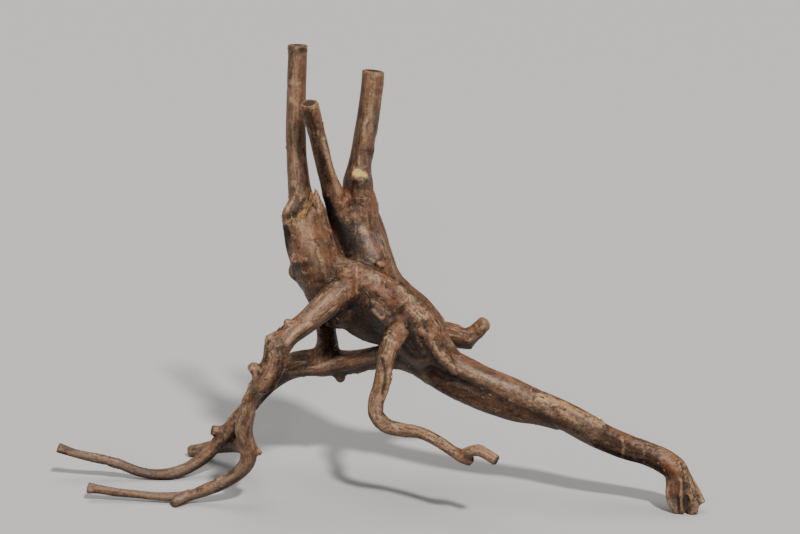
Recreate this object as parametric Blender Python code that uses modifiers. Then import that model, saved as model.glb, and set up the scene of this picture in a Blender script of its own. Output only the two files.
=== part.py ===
"""A dry root: a small shrub's stump with three sawn stems and its spreading roots, one solid piece of wood.

Sizes are in millimetres and turned to metres as each point is read. X runs across the root, Y from its front
to its back and Z up. The root stands on the sole of its right foot, a knob at the front left and the tip of a
back root, and the origin lies on the floor under the middle of its box.
"""

import bmesh
import bpy
import numpy as np
from mathutils import Matrix, Vector, noise

MM = 0.001
NODE_NAME = "dry_root"

# The middle of the footprint, in the frame that the strands below are written in
FOOTPRINT_MIDDLE = (-22.0, 47.0, 0.0)

# Where two strands meet, the fillet's size is a share of the thinner one's radius, within a range
FILLET_SHARE = 0.19
FILLET_RANGE = (0.7, 3.4)

# The tubes that are joined first. A cut tube is drawn on past its cut, in radii, and is then cut flat
PATH_STEP = 2.5
TUBE_RESOLUTION = 4
BALL_SIDES = 16
BALL_RINGS = 10
RUN_ON = (0.5, 1.0, 1.5)
WELD_GAP = 0.01

# The surface: the joined tubes are remeshed and moved onto the filleted shape, twice over
VOXEL = 2.2
SETTLE_PASSES = 2
SETTLE_ROUNDS = 3
FARTHEST_STEP = 4.4
REACH_IN_FILLETS = 8
DEEPEST_IN_FILLETS = 40
LEAST_SLOPE = 50
TINY = 1e-12

# Slow swells and long flutes of the wood: heights are shares of the strand's radius
LUMP_SPACING = 26.0
LUMP_HEIGHT = 0.07
FLUTE_SPACING = 9.0
FLUTE_STRETCH = 5.0
FLUTE_HEIGHT = 0.07
GRAIN_APART = 400

MOST_TRIANGLES = 10600
SMOOTH_ANGLE = 0.9
WOOD_COLOUR = (0.115, 0.065, 0.036, 1)
WOOD_ROUGHNESS = 0.62

# Each strand is a run of wood with the grain along it: points (x, y, z, radius), from where it grows to its
# end. A cut is the way a sawn or torn end faces: "square" is straight across. With no cut, the end is rounded.
STRANDS = {
    "left_trunk": {
        "points": [(-50, 61, 160, 19), (-65, 55, 188, 20.5), (-72, 52, 211, 20), (-78, 52, 231, 18),
                   (-80, 52, 243.5, 16.5)],
        "cut": (-0.3, -0.25, 0.92),
    },
    "torn_splinter": {
        "points": [(-65, 52, 226, 8), (-66.5, 47, 243, 6), (-68, 44, 255, 3.4), (-68.5, 43, 262, 1.4)],
    },
    "right_trunk": {
        "points": [(2, 62, 148, 19), (-11, 63, 165, 20.5), (-21, 68, 185, 20.3),
                   (-27.5, 74, 205, 18.8), (-33, 78, 226, 15.5), (-35, 79, 247, 13),
                   (-35, 80, 261, 11)],
    },
    "body": {
        "points": [(-40, 60, 180, 15), (-22, 60, 169, 18), (-4, 60, 155, 20), (10, 59, 140, 19.5),
                   (20, 57, 127, 17)],
    },
    "belly": {
        "points": [(-44, 72, 163, 18), (-27, 74, 149, 20.5), (0, 72, 137, 19.5), (22, 66, 120, 14.5)],
    },
    "crown": {
        "points": [(-32, 50, 178, 9), (-17, 47, 168, 12), (0, 47, 155, 13.5), (14, 49, 140, 13.5),
                   (22, 52, 128, 11)],
    },
    "hip": {
        "points": [(0, 66, 167, 12), (16, 62, 158.5, 10.5), (27, 58, 145, 10)],
    },
    "crotch_web": {
        "points": [(-50, 70, 186, 10), (-53, 72, 205, 7.5), (-56, 73, 224, 6), (-60, 73, 238, 4)],
    },
    "saddle_lip": {
        "points": [(-56, 50, 199, 9), (-38, 45, 193, 9), (-22, 42, 186, 9.5), (-6, 42, 174, 10.5),
                   (11, 44, 158, 11), (24, 48, 144, 11), (34, 52, 128, 10)],
    },
    "tall_stem": {
        "points": [(-72, 64, 210, 14), (-80, 69, 238, 11.5), (-83.5, 72, 257, 9.6),
                   (-85.4, 74, 278, 9), (-86, 76, 298, 8.4), (-85.8, 76, 323, 7.9),
                   (-84.6, 76, 348, 7.8), (-83.2, 76, 377, 8)],
        "cut": "square",
    },
    "middle_stem": {
        "points": [(-36, 76, 208, 15), (-45.5, 74, 228, 12.5), (-52, 68, 246, 9.8),
                   (-57, 62, 261, 8.2), (-61, 56, 277, 7.2), (-64.5, 51, 295, 7),
                   (-68.4, 48, 313, 7.1), (-73.4, 45, 334, 7.6)],
        "cut": (-0.12, -0.3, 0.95),
    },
    "right_stem": {
        "points": [(-32, 79, 240, 13), (-35, 80, 256, 11), (-34.5, 80.5, 268, 10),
                   (-31.6, 82, 286, 9.3), (-27.8, 82, 309, 9.4), (-24.6, 82, 331, 9.2),
                   (-22, 82, 355, 8.8)],
        "cut": "square",
    },
    "front_leg": {
        "points": [(-38, 52, 184, 15), (-50, 38, 178, 12.6), (-64, 24, 168, 10.6),
                   (-79, 12, 157.5, 9.4), (-92, 4, 149, 9.4), (-99, 0, 141, 10.4),
                   (-101.5, -2, 130, 10), (-110, -2, 115, 9.2), (-117.5, 0, 105.5, 7.2),
                   (-122.5, 1, 97, 6), (-125, 2, 86, 6.8), (-128, 4, 71, 7.4), (-125.5, 7, 56, 6.8),
                   (-125, 9, 44, 6.6), (-132, 12, 32, 6.2), (-145, 15, 22, 5.9), (-162, 18, 13, 5.2),
                   (-178, 20, 7.3, 4.3), (-193, 22, 5.4, 3.5), (-218, 24, 6.6, 3.6),
                   (-239, 26, 8, 3.5), (-253, 27, 9.8, 3.7), (-262, 28, 10.7, 4.9)],
        "cut": "square",
    },
    "back_root": {
        "points": [(26, 64, 120, 13), (10, 74, 116, 11.4), (-13, 84, 109.5, 9.8),
                   (-43, 92, 101.5, 10.4), (-69, 95, 101, 11), (-91, 95, 98, 11.2),
                   (-113, 95, 83, 8.8), (-128.5, 95, 63.5, 6.8), (-139, 93, 51.5, 6.9),
                   (-153, 91, 35, 6.6), (-163, 89, 24, 6), (-173, 86, 15, 5.5), (-185, 82, 8.5, 5.1),
                   (-198, 78, 5.4, 4.8), (-212, 77, 5, 4.4), (-226, 77, 7.6, 4.3), (-239, 77, 13, 4.4),
                   (-258, 77, 19, 4.3), (-280, 77, 24, 3.8), (-295, 77, 29.5, 4.4)],
        "cut": "square",
    },
    "column": {
        "points": [(-56, 66, 174, 15), (-64, 76, 158, 12.5), (-64, 83, 143, 9.6), (-63, 88, 130, 8.6),
                   (-63, 92, 116, 10), (-66, 94, 102, 13)],
    },
    "right_leg": {
        "points": [(4, 60, 150, 17), (22, 58, 134, 13), (42, 52, 115.5, 10.6), (58.6, 47, 107.5, 10.4),
                   (77, 42, 99, 10.6), (96, 37, 91.4, 11.2), (114, 32, 84.3, 11.2),
                   (133, 27, 77.2, 11.6), (149.4, 23, 69, 12), (163, 19, 61.6, 11.6),
                   (175, 16, 56.5, 11), (189.4, 13, 51.5, 10.6), (205, 9, 47.6, 10),
                   (217.5, 6, 42.6, 10), (226, 4, 36, 9.2), (229.5, 5, 26, 8)],
    },
    "right_leg_rib": {
        "points": [(-8, 82, 110, 10), (8, 74, 110, 11), (21, 66, 106, 11), (38, 58, 96.2, 10.6),
                   (56.4, 50, 89, 10.6), (75.5, 43, 82.5, 10.4), (94.5, 37, 77.4, 9.4),
                   (113, 32, 74.5, 8.4), (129, 28, 71.4, 7.5)],
    },
    "middle_root": {
        "points": [(2, 46, 152, 10), (-2.5, 31, 146, 9), (-9, 21, 134.4, 8.2), (-13, 18, 119, 6.6),
                   (-15.6, 16, 104, 7), (-19.7, 12, 91, 6.5), (-19, 9, 81.4, 6.3), (-11.5, 4, 74.5, 6),
                   (1.6, -2, 72.4, 5.6), (16.3, -9, 72.4, 5), (31, -16, 67.4, 4.7),
                   (44.5, -23, 60.6, 4.7), (53, -27, 57, 5), (58, -27, 54, 4)],
        "cut": (0.75, 0.1, -0.5),
    },
    "middle_root_hook": {
        "points": [(50, -26, 59, 4.5), (56, -31, 64, 4.3), (62, -34, 66.4, 4.6), (69, -38, 64.4, 4.4),
                   (77, -43, 60.6, 4.6)],
        "cut": "square",
    },
    "side_stub": {
        "points": [(20, 72, 132, 13), (32, 78, 131.5, 10.8), (44, 82, 129, 9.2), (55, 85, 125.5, 8.6),
                   (64, 86, 129.5, 6.8), (70.5, 86, 136, 6.6)],
    },
    "side_stub_spur": {
        "points": [(48, 84, 126, 7), (57, 85, 121.5, 5.4), (62.5, 86, 119.5, 4.4)],
        "cut": (0.9, -0.1, -0.4),
    },
    "rear_root": {
        "points": [(-126, 8, 54, 6.5), (-129, 38, 45, 6.6), (-136, 72, 33, 6.8), (-144, 100, 24, 6.8),
                   (-162, 118, 16, 6.2), (-176, 130, 9.5, 5.6), (-188, 138, 4.6, 5.2)],
        "cut": (-0.8, 0.5, -0.1),
    },
    "toe_left": {
        "points": [(226.5, 3, 36, 6.4), (226, 2, 20.5, 5.6), (227.5, 1, 8.7, 4.4), (229, 0, -1, 3.2)],
    },
    "toe_left_edge": {
        "points": [(224, 1, 27, 2.6), (221, 0, 21.5, 1.9), (221.8, -1, 11, 1.7), (225.6, -2, 4, 1.7),
                   (228.8, -2, -2, 1.8)],
    },
    "toe_rib": {
        "points": [(228.5, 1, 40, 4.6), (231.6, -3, 27, 3.1), (231.8, -4, 13, 2.6),
                   (232.4, -4, 2.5, 2.3)],
    },
    "toe_middle": {
        "points": [(231.5, 2, 36, 4.8), (236.6, -2, 26, 3.7), (239.2, -3, 16, 4.2), (241, -2, 7, 5.1),
                   (240.8, -1, -3, 4.6)],
    },
    "toe_right": {
        "points": [(234, 5, 33, 4.2), (241.4, 4, 22, 3.7), (246.6, 3, 13, 3.7), (249, 2, 6.8, 4)],
        "cut": (0.45, -0.35, -0.82),
    },
    "toe_back": {
        "points": [(228, 8, 36, 7), (231, 9, 24, 7.4), (233, 9, 10, 7.6), (233, 9, -4, 7)],
    },
}

# Stubs, knots and broken twig ends that stand out of the strands, written the same way
KNOTS = {
    "shoulder_twig": {
        "points": [(-33, 78, 238, 9), (-33, 72.5, 253, 8), (-33.5, 67, 272, 6.4)],
        "cut": (0.05, -0.52, 0.85),
    },
    "stem_lip": {
        "points": [(-87, 66, 252, 3.4), (-91, 62, 244, 3.8), (-93.6, 58, 237, 3.6), (-92, 54, 229, 3)],
    },
    "elbow_knob": {
        "points": [(-97, 2, 143, 8), (-103.5, -1, 147.5, 5.6)],
    },
    "elbow_spur": {
        "points": [(-108, -2, 114, 8), (-115, -2, 122, 6), (-121.5, -2, 128, 3.4)],
        "cut": (-0.6, 0, 0.8),
    },
    "thigh_nub": {
        "points": [(-85, 7, 156, 6.5), (-90.5, 4, 161.5, 3.6)],
    },
    "shin_nub": {
        "points": [(-124, 8, 53, 5), (-116, 7, 50, 2.4)],
    },
    "floor_knob": {
        "points": [(-176, 20, 8, 4), (-182, 16, 5.5, 4.2), (-189, 12, 3.6, 4.4)],
        "cut": (-0.75, -0.6, 0.1),
    },
    "back_root_twig": {
        "points": [(-148, 92, 37, 5), (-163, 88, 41.5, 4.5)],
        "cut": "square",
    },
    "left_trunk_nub": {
        "points": [(-80, 45, 205, 8), (-85.5, 40, 206, 4.6)],
    },
    "left_trunk_heel": {
        "points": [(-74, 56, 196, 12), (-86, 54, 192, 6)],
    },
    "left_trunk_spur": {
        "points": [(-70, 58, 190, 10), (-82, 56, 185, 4)],
    },
    "belly_nub": {
        "points": [(-54, 90, 98, 8), (-51, 88, 89, 4)],
    },
    "body_ridge": {
        "points": [(-24, 40, 166, 4), (-16, 36, 160, 4.4), (-6, 37, 148, 4)],
    },
    "hip_ridge": {
        "points": [(12, 38, 154, 4.5), (21, 37, 141, 5), (31, 40, 126, 5), (46, 42, 110, 4.6)],
    },
    "hollow_knob": {
        "points": [(-17, 55, 196, 6), (-16.5, 49, 199, 3.2)],
    },
    "back_root_ridge": {
        "points": [(-93, 88, 95, 5), (-62, 84, 99, 5.4), (-41, 81, 104, 5), (-28, 76, 109.5, 4.8),
                   (-14, 68, 116, 5)],
    },
    "saddle_knot": {
        "points": [(-44, 46, 190, 9), (-44, 39.5, 192, 6.5)],
    },
    "rear_trunk_ridge": {
        "points": [(-28, 94, 240, 7), (-20, 94, 212, 9), (-15, 90, 186, 10), (-10, 88, 160, 10),
                   (-8, 88, 132, 9)],
    },
    "rear_knot": {
        "points": [(-14, 86, 176, 8), (-11, 98, 181, 5.5)],
        "cut": (0.1, 0.95, 0.3),
    },
}


def unit(vectors):
    """Vectors of length one."""
    return vectors / np.maximum(np.linalg.norm(vectors, axis=-1, keepdims=True), TINY)


def smooth_path(points, step):
    """A smooth curve through the points, in metres, with a sample at least every step."""
    knots = np.array(points, float)
    knots[:, :3] -= FOOTPRINT_MIDDLE
    knots *= MM
    spans = np.linalg.norm(np.diff(knots[:, :3], axis=0), axis=1)
    places = np.concatenate([[0], np.cumsum(spans)])
    slopes = np.gradient(knots, places, axis=0)
    samples = []
    for i, span in enumerate(spans):
        count = max(2, int(np.ceil(span / step)))
        t = np.linspace(0, 1, count, endpoint=False)[:, None]
        # A cubic between two points that keeps the slope at each
        samples.append(
            (2 * t**3 - 3 * t**2 + 1) * knots[i]
            + (t**3 - 2 * t**2 + t) * span * slopes[i]
            + (3 * t**2 - 2 * t**3) * knots[i + 1]
            + (t**3 - t**2) * span * slopes[i + 1]
        )
    return np.concatenate([*samples, knots[-1:]])


class Strand:
    """One run of wood: its path, its thickness, and the plane of its cut end if it has one."""

    def __init__(self, points, cut=None):
        path = smooth_path(points, PATH_STEP * MM)
        self.cut_at, self.cut_faces = None, None
        if cut is not None:
            last, before = path[-1], path[-2]
            ahead = unit(last[:3] - before[:3])
            self.cut_at = last[:3]
            self.cut_faces = ahead if cut == "square" else unit(np.array(cut, float))
            past = [np.append(last[:3] + ahead * last[3] * radii, last[3]) for radii in RUN_ON]
            path = np.concatenate([path, past])
        self.places, self.radii = path[:, :3], path[:, 3]
        self.along = unit(np.gradient(self.places, axis=0))
        runs = np.linalg.norm(np.diff(self.places, axis=0), axis=1)
        self.distance = np.concatenate([[0], np.cumsum(runs)])
        self.growth = np.gradient(self.radii, self.distance)
        self.fillet = np.clip(np.median(self.radii) * FILLET_SHARE, *(size * MM for size in FILLET_RANGE))

    def depth(self, places):
        """How far each place is outside the strand, and the way out."""
        apart = places[:, None, :] - self.places[None, :, :]
        nearest = np.argmin(np.linalg.norm(apart, axis=2) - self.radii, axis=1)
        offset = places - self.places[nearest]
        along = self.along[nearest]
        run = np.sum(offset * along, axis=1)
        # Past the ends, the distance is from the end point, which rounds them
        run = np.where((nearest == 0) & (run < 0), 0, run)
        run = np.where((nearest == len(self.places) - 1) & (run > 0), 0, run)
        across = offset - run[:, None] * along
        out = unit(across)
        outside = np.linalg.norm(across, axis=1) - self.radii[nearest] - self.growth[nearest] * run
        if self.cut_at is not None:
            beyond = (places - self.cut_at) @ self.cut_faces
            past = beyond > outside
            outside = np.where(past, beyond, outside)
            out = np.where(past[:, None], self.cut_faces, out)
        return outside, out

    def grain(self, places):
        """Places along the strand, in millimetres: the distance along it, and the offset from its middle."""
        apart = np.linalg.norm(places[:, None, :] - self.places[None, :, :], axis=2)
        nearest = np.argmin(apart, axis=1)
        offset = places - self.places[nearest]
        along = self.along[nearest]
        run = np.sum(offset * along, axis=1)
        across = offset - run[:, None] * along
        return (self.distance[nearest] + run) / MM, across / MM


def tube(strand):
    """A mesh tube along the strand, cut flat where the strand is cut."""
    curve = bpy.data.curves.new("strand", "CURVE")
    curve.dimensions = "3D"
    curve.bevel_depth = 1.0
    curve.bevel_resolution = TUBE_RESOLUTION
    curve.use_fill_caps = True
    spline = curve.splines.new("POLY")
    spline.points.add(len(strand.places) - 1)
    for point, place, radius in zip(spline.points, strand.places, strand.radii):
        point.co = (*place, 1)
        point.radius = radius
    guide = bpy.data.objects.new("strand", curve)
    bpy.context.scene.collection.objects.link(guide)
    bpy.context.view_layer.update()
    mesh = bpy.data.meshes.new_from_object(guide.evaluated_get(bpy.context.evaluated_depsgraph_get()))
    bpy.data.objects.remove(guide)
    shape = bmesh.new()
    shape.from_mesh(mesh)
    bpy.data.meshes.remove(mesh)
    bmesh.ops.remove_doubles(shape, verts=shape.verts, dist=WELD_GAP * MM)
    if strand.cut_at is None:
        round_end(shape, strand.places[-1], strand.radii[-1])
    else:
        cut_flat(shape, strand.cut_at, strand.cut_faces)
    round_end(shape, strand.places[0], strand.radii[0])
    return shape


def round_end(shape, place, radius):
    """Adds a ball to the end of a tube."""
    sides = {"u_segments": BALL_SIDES, "v_segments": BALL_RINGS}
    bmesh.ops.create_uvsphere(shape, radius=radius, matrix=Matrix.Translation(place), **sides)


def cut_flat(shape, place, faces):
    """Takes off what lies past the plane and closes the cut."""
    parts = [*shape.verts, *shape.edges, *shape.faces]
    cut = bmesh.ops.bisect_plane(shape, geom=parts, plane_co=place, plane_no=faces, clear_outer=True)
    rim = [part for part in cut["geom_cut"] if isinstance(part, bmesh.types.BMEdge)]
    bmesh.ops.edgeloop_fill(shape, edges=rim)


def with_modifier(obj, kind, **settings):
    """The object's mesh after one modifier."""
    modifier = obj.modifiers.new(kind.title(), kind)
    for name, value in settings.items():
        setattr(modifier, name, value)
    bpy.context.view_layer.update()
    mesh = bpy.data.meshes.new_from_object(obj.evaluated_get(bpy.context.evaluated_depsgraph_get()))
    obj.modifiers.remove(modifier)
    old = obj.data
    obj.data = mesh
    bpy.data.meshes.remove(old)


def vertex_places(mesh):
    """The mesh's vertices as rows of x, y and z."""
    flat = np.empty(len(mesh.vertices) * 3)
    mesh.vertices.foreach_get("co", flat)
    return flat.reshape(-1, 3)


def settle(places, strands):
    """Moves each place onto the wood's surface, where the strands flow into each other with soft fillets."""
    farthest = FARTHEST_STEP * MM
    for _ in range(SETTLE_ROUNDS):
        total = np.full(len(places), TINY)
        slope = np.zeros_like(places)
        for strand in strands:
            margin = strand.radii.max() + REACH_IN_FILLETS * strand.fillet
            low, high = strand.places.min(0) - margin, strand.places.max(0) + margin
            near = np.all((places > low) & (places < high), axis=1)
            outside, way = strand.depth(places[near])
            fillets_in = np.clip(-outside / strand.fillet, -DEEPEST_IN_FILLETS, DEEPEST_IN_FILLETS)
            weight = np.exp(fillets_in)
            total[near] += weight
            slope[near] += way * (weight / strand.fillet)[:, None]
        slope /= total[:, None]
        step = np.log(total) / np.maximum(np.linalg.norm(slope, axis=1), LEAST_SLOPE)
        places = places + unit(slope) * np.clip(step, -farthest, farthest)[:, None]
    return places


def relief(places, strands):
    """Swells and flutes of the wood along the grain of the nearest strand, as a height for each place."""
    nearest = np.full(len(places), np.inf)
    along = np.zeros(len(places))
    across = np.zeros_like(places)
    thick = np.zeros(len(places))
    for number, strand in enumerate(strands):
        outside, _ = strand.depth(places)
        closer = outside < nearest
        nearest[closer] = outside[closer]
        along[closer], across[closer] = strand.grain(places[closer])
        along[closer] += GRAIN_APART * number
        thick[closer] = np.median(strand.radii)
    height = np.zeros(len(places))
    for i, (run, (x, y, z)) in enumerate(zip(along, across)):
        lump = noise.noise(Vector((run, x, y + z)) / LUMP_SPACING)
        flute = noise.noise(Vector((run / FLUTE_STRETCH, x + y, z)) / FLUTE_SPACING)
        height[i] = thick[i] * (LUMP_HEIGHT * lump + FLUTE_HEIGHT * flute)
    return height


def dry_wood():
    """Old brown wood, dull all over."""
    material = bpy.data.materials.new("dry_wood")
    material.use_nodes = True
    shader = material.node_tree.nodes["Principled BSDF"]
    shader.inputs["Base Color"].default_value = WOOD_COLOUR
    shader.inputs["Roughness"].default_value = WOOD_ROUGHNESS
    return material


def build_root():
    """The root as one closed solid, standing on the floor."""
    strands = [Strand(**facts) for facts in [*STRANDS.values(), *KNOTS.values()]]
    whole = bmesh.new()
    for strand in strands:
        part = tube(strand)
        piece = bpy.data.meshes.new("piece")
        part.to_mesh(piece)
        part.free()
        whole.from_mesh(piece)
        bpy.data.meshes.remove(piece)
    mesh = bpy.data.meshes.new(NODE_NAME)
    whole.to_mesh(mesh)
    whole.free()
    root = bpy.data.objects.new(NODE_NAME, mesh)
    home = bpy.data.collections.new(NODE_NAME)
    bpy.context.scene.collection.children.link(home)
    home.objects.link(root)

    for _ in range(SETTLE_PASSES):
        with_modifier(root, "REMESH", mode="VOXEL", voxel_size=VOXEL * MM)
        places = settle(vertex_places(root.data), strands)
        root.data.vertices.foreach_set("co", places.ravel())
        root.data.update()
    normals = np.array([vertex.normal for vertex in root.data.vertices])
    places += normals * relief(places, strands)[:, None]
    root.data.vertices.foreach_set("co", places.ravel())
    root.data.update()

    triangles = sum(len(face.vertices) - 2 for face in root.data.polygons)
    with_modifier(root, "DECIMATE", ratio=min(1, MOST_TRIANGLES / triangles))
    shape = bmesh.new()
    shape.from_mesh(root.data)
    cut_flat(shape, (0, 0, 0), (0, 0, -1))
    shape.to_mesh(root.data)
    shape.free()
    root.data.shade_smooth()
    root.data.set_sharp_from_angle(angle=SMOOTH_ANGLE)
    root.data.materials.clear()
    root.data.materials.append(dry_wood())
    return root


for old in list(bpy.data.objects):
    bpy.data.objects.remove(old)
build_root()
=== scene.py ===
import math

import bmesh
import bpy
import numpy as np
from mathutils import Matrix, Vector, noise
from mathutils.bvhtree import BVHTree


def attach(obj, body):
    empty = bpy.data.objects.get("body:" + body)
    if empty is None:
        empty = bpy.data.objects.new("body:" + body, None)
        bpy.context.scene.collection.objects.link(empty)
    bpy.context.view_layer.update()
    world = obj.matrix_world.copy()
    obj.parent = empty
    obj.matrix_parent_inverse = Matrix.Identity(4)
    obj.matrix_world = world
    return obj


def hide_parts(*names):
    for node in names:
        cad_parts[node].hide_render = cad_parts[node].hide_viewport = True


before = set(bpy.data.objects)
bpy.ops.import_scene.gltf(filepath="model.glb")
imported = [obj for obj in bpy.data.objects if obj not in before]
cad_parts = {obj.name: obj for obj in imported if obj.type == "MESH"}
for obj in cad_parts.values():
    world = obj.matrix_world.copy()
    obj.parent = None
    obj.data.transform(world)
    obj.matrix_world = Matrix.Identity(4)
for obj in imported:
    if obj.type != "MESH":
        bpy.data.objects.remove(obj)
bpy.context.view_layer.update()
mm = 0.001
tiny = 1e-12
rng = np.random.default_rng(41)

# The photo's view: sizes in pixels, lens and sensor in millimetres, distances in metres
photoView = {
    "width": 800,
    "height": 534,
    "lens": 85,
    "sensor": 36,
    "target": (0.022, -0.047, 0.209),
    "distance": 1.510,
    "pitchDown": 14,
    "markStep": 0.8,
}

# How the root's wood is drawn, in millimetres
rootWood = {
    "footprintMiddle": (-22.0, 47.0, 0.0),
    "filletShare": 0.19,
    "filletRange": (0.7, 3.4),
    "pathStep": 2.5,
    "tubeResolution": 4,
    "ballSides": (16, 10),
    "runOn": (0.5, 1.0, 1.5),
    "weldGap": 0.01,
    "voxel": 1.42,
    "settlePasses": 2,
    "settleRounds": 3,
    "farthestStep": 3.0,
    # In fillets: how far a strand pulls at the surface, and the most that its depth counts
    "reachInFillets": 8,
    "deepestInFillets": 40,
    "leastSlope": 50,
    "skinReach": 6.0,
    "grainApart": 400,
    "grainRounds": 6,
    "seamRounds": 2,
    "seamStrength": 3,
    "lumpSpacing": 26.0,
    "lumpHeight": 0.07,
    "fluteSpacing": 9.0,
    "fluteStretch": 5.0,
    "fluteHeight": 0.07,
    "rippleSpacing": 3.4,
    "rippleStretch": 7.0,
    "rippleHeight": 0.22,
    "gnarlSpacing": 8.0,
    "gnarlHeight": 1.0,
    "pitSpacing": 4.2,
    "pitDepth": 0.55,
    "fibreHeight": 0.14,
    "markHeight": 0.55,
    "crownSpacing": 15.0,
    "crownHeight": 1.8,
    "smoothBark": ("tallStem", "middleStem", "rightStem", "leftTrunk", "rightTrunk", "body", "belly", "rightLeg",
                   "rightLegRib"),
    "barkGrain": 0.3,
    "barkRounds": 8,
    "gnarlHides": 0.85,
    "ridgeRounds": 6,
    "swellRounds": 40,
    "swellHeight": 3,
    "raggedSpacing": 2.6,
    "markRagged": 0.8,
    "markEdge": (0.3, 1.1),
    "markReach": 1.5,
    "markFacing": (-0.3, 0.1),
    # Shifts, in metres, to another part of the noise
    "crownShift": 0.13,
    "patchShift": 0.31,
    "patchSpacing": 38.0,
    "patchEdge": (0.05, 0.5),
    "patchShare": 0.75,
    "pitEdge": (0.12, 0.42),
    "pittedFrom": (0.35, 0.8),
    # Rounds of smoothing and the seed of the random values
    "shortStreaks": (5, 3),
    "longStreaks": (24, 5),
    "streakPull": 9,
    "streakWeight": 2,
    "streakContrast": 0.22,
    # Rays to the sky, for the painted shade where the wood sees little of it: turns, heights, and where they start
    # and end
    "skyTurns": 6,
    "skyLevels": (0.25, 0.6, 0.9),
    "skyStart": 0.8,
    "skyReach": 150,
    "skyFacing": 0.05,
    "skyRounds": 2,
}

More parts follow.
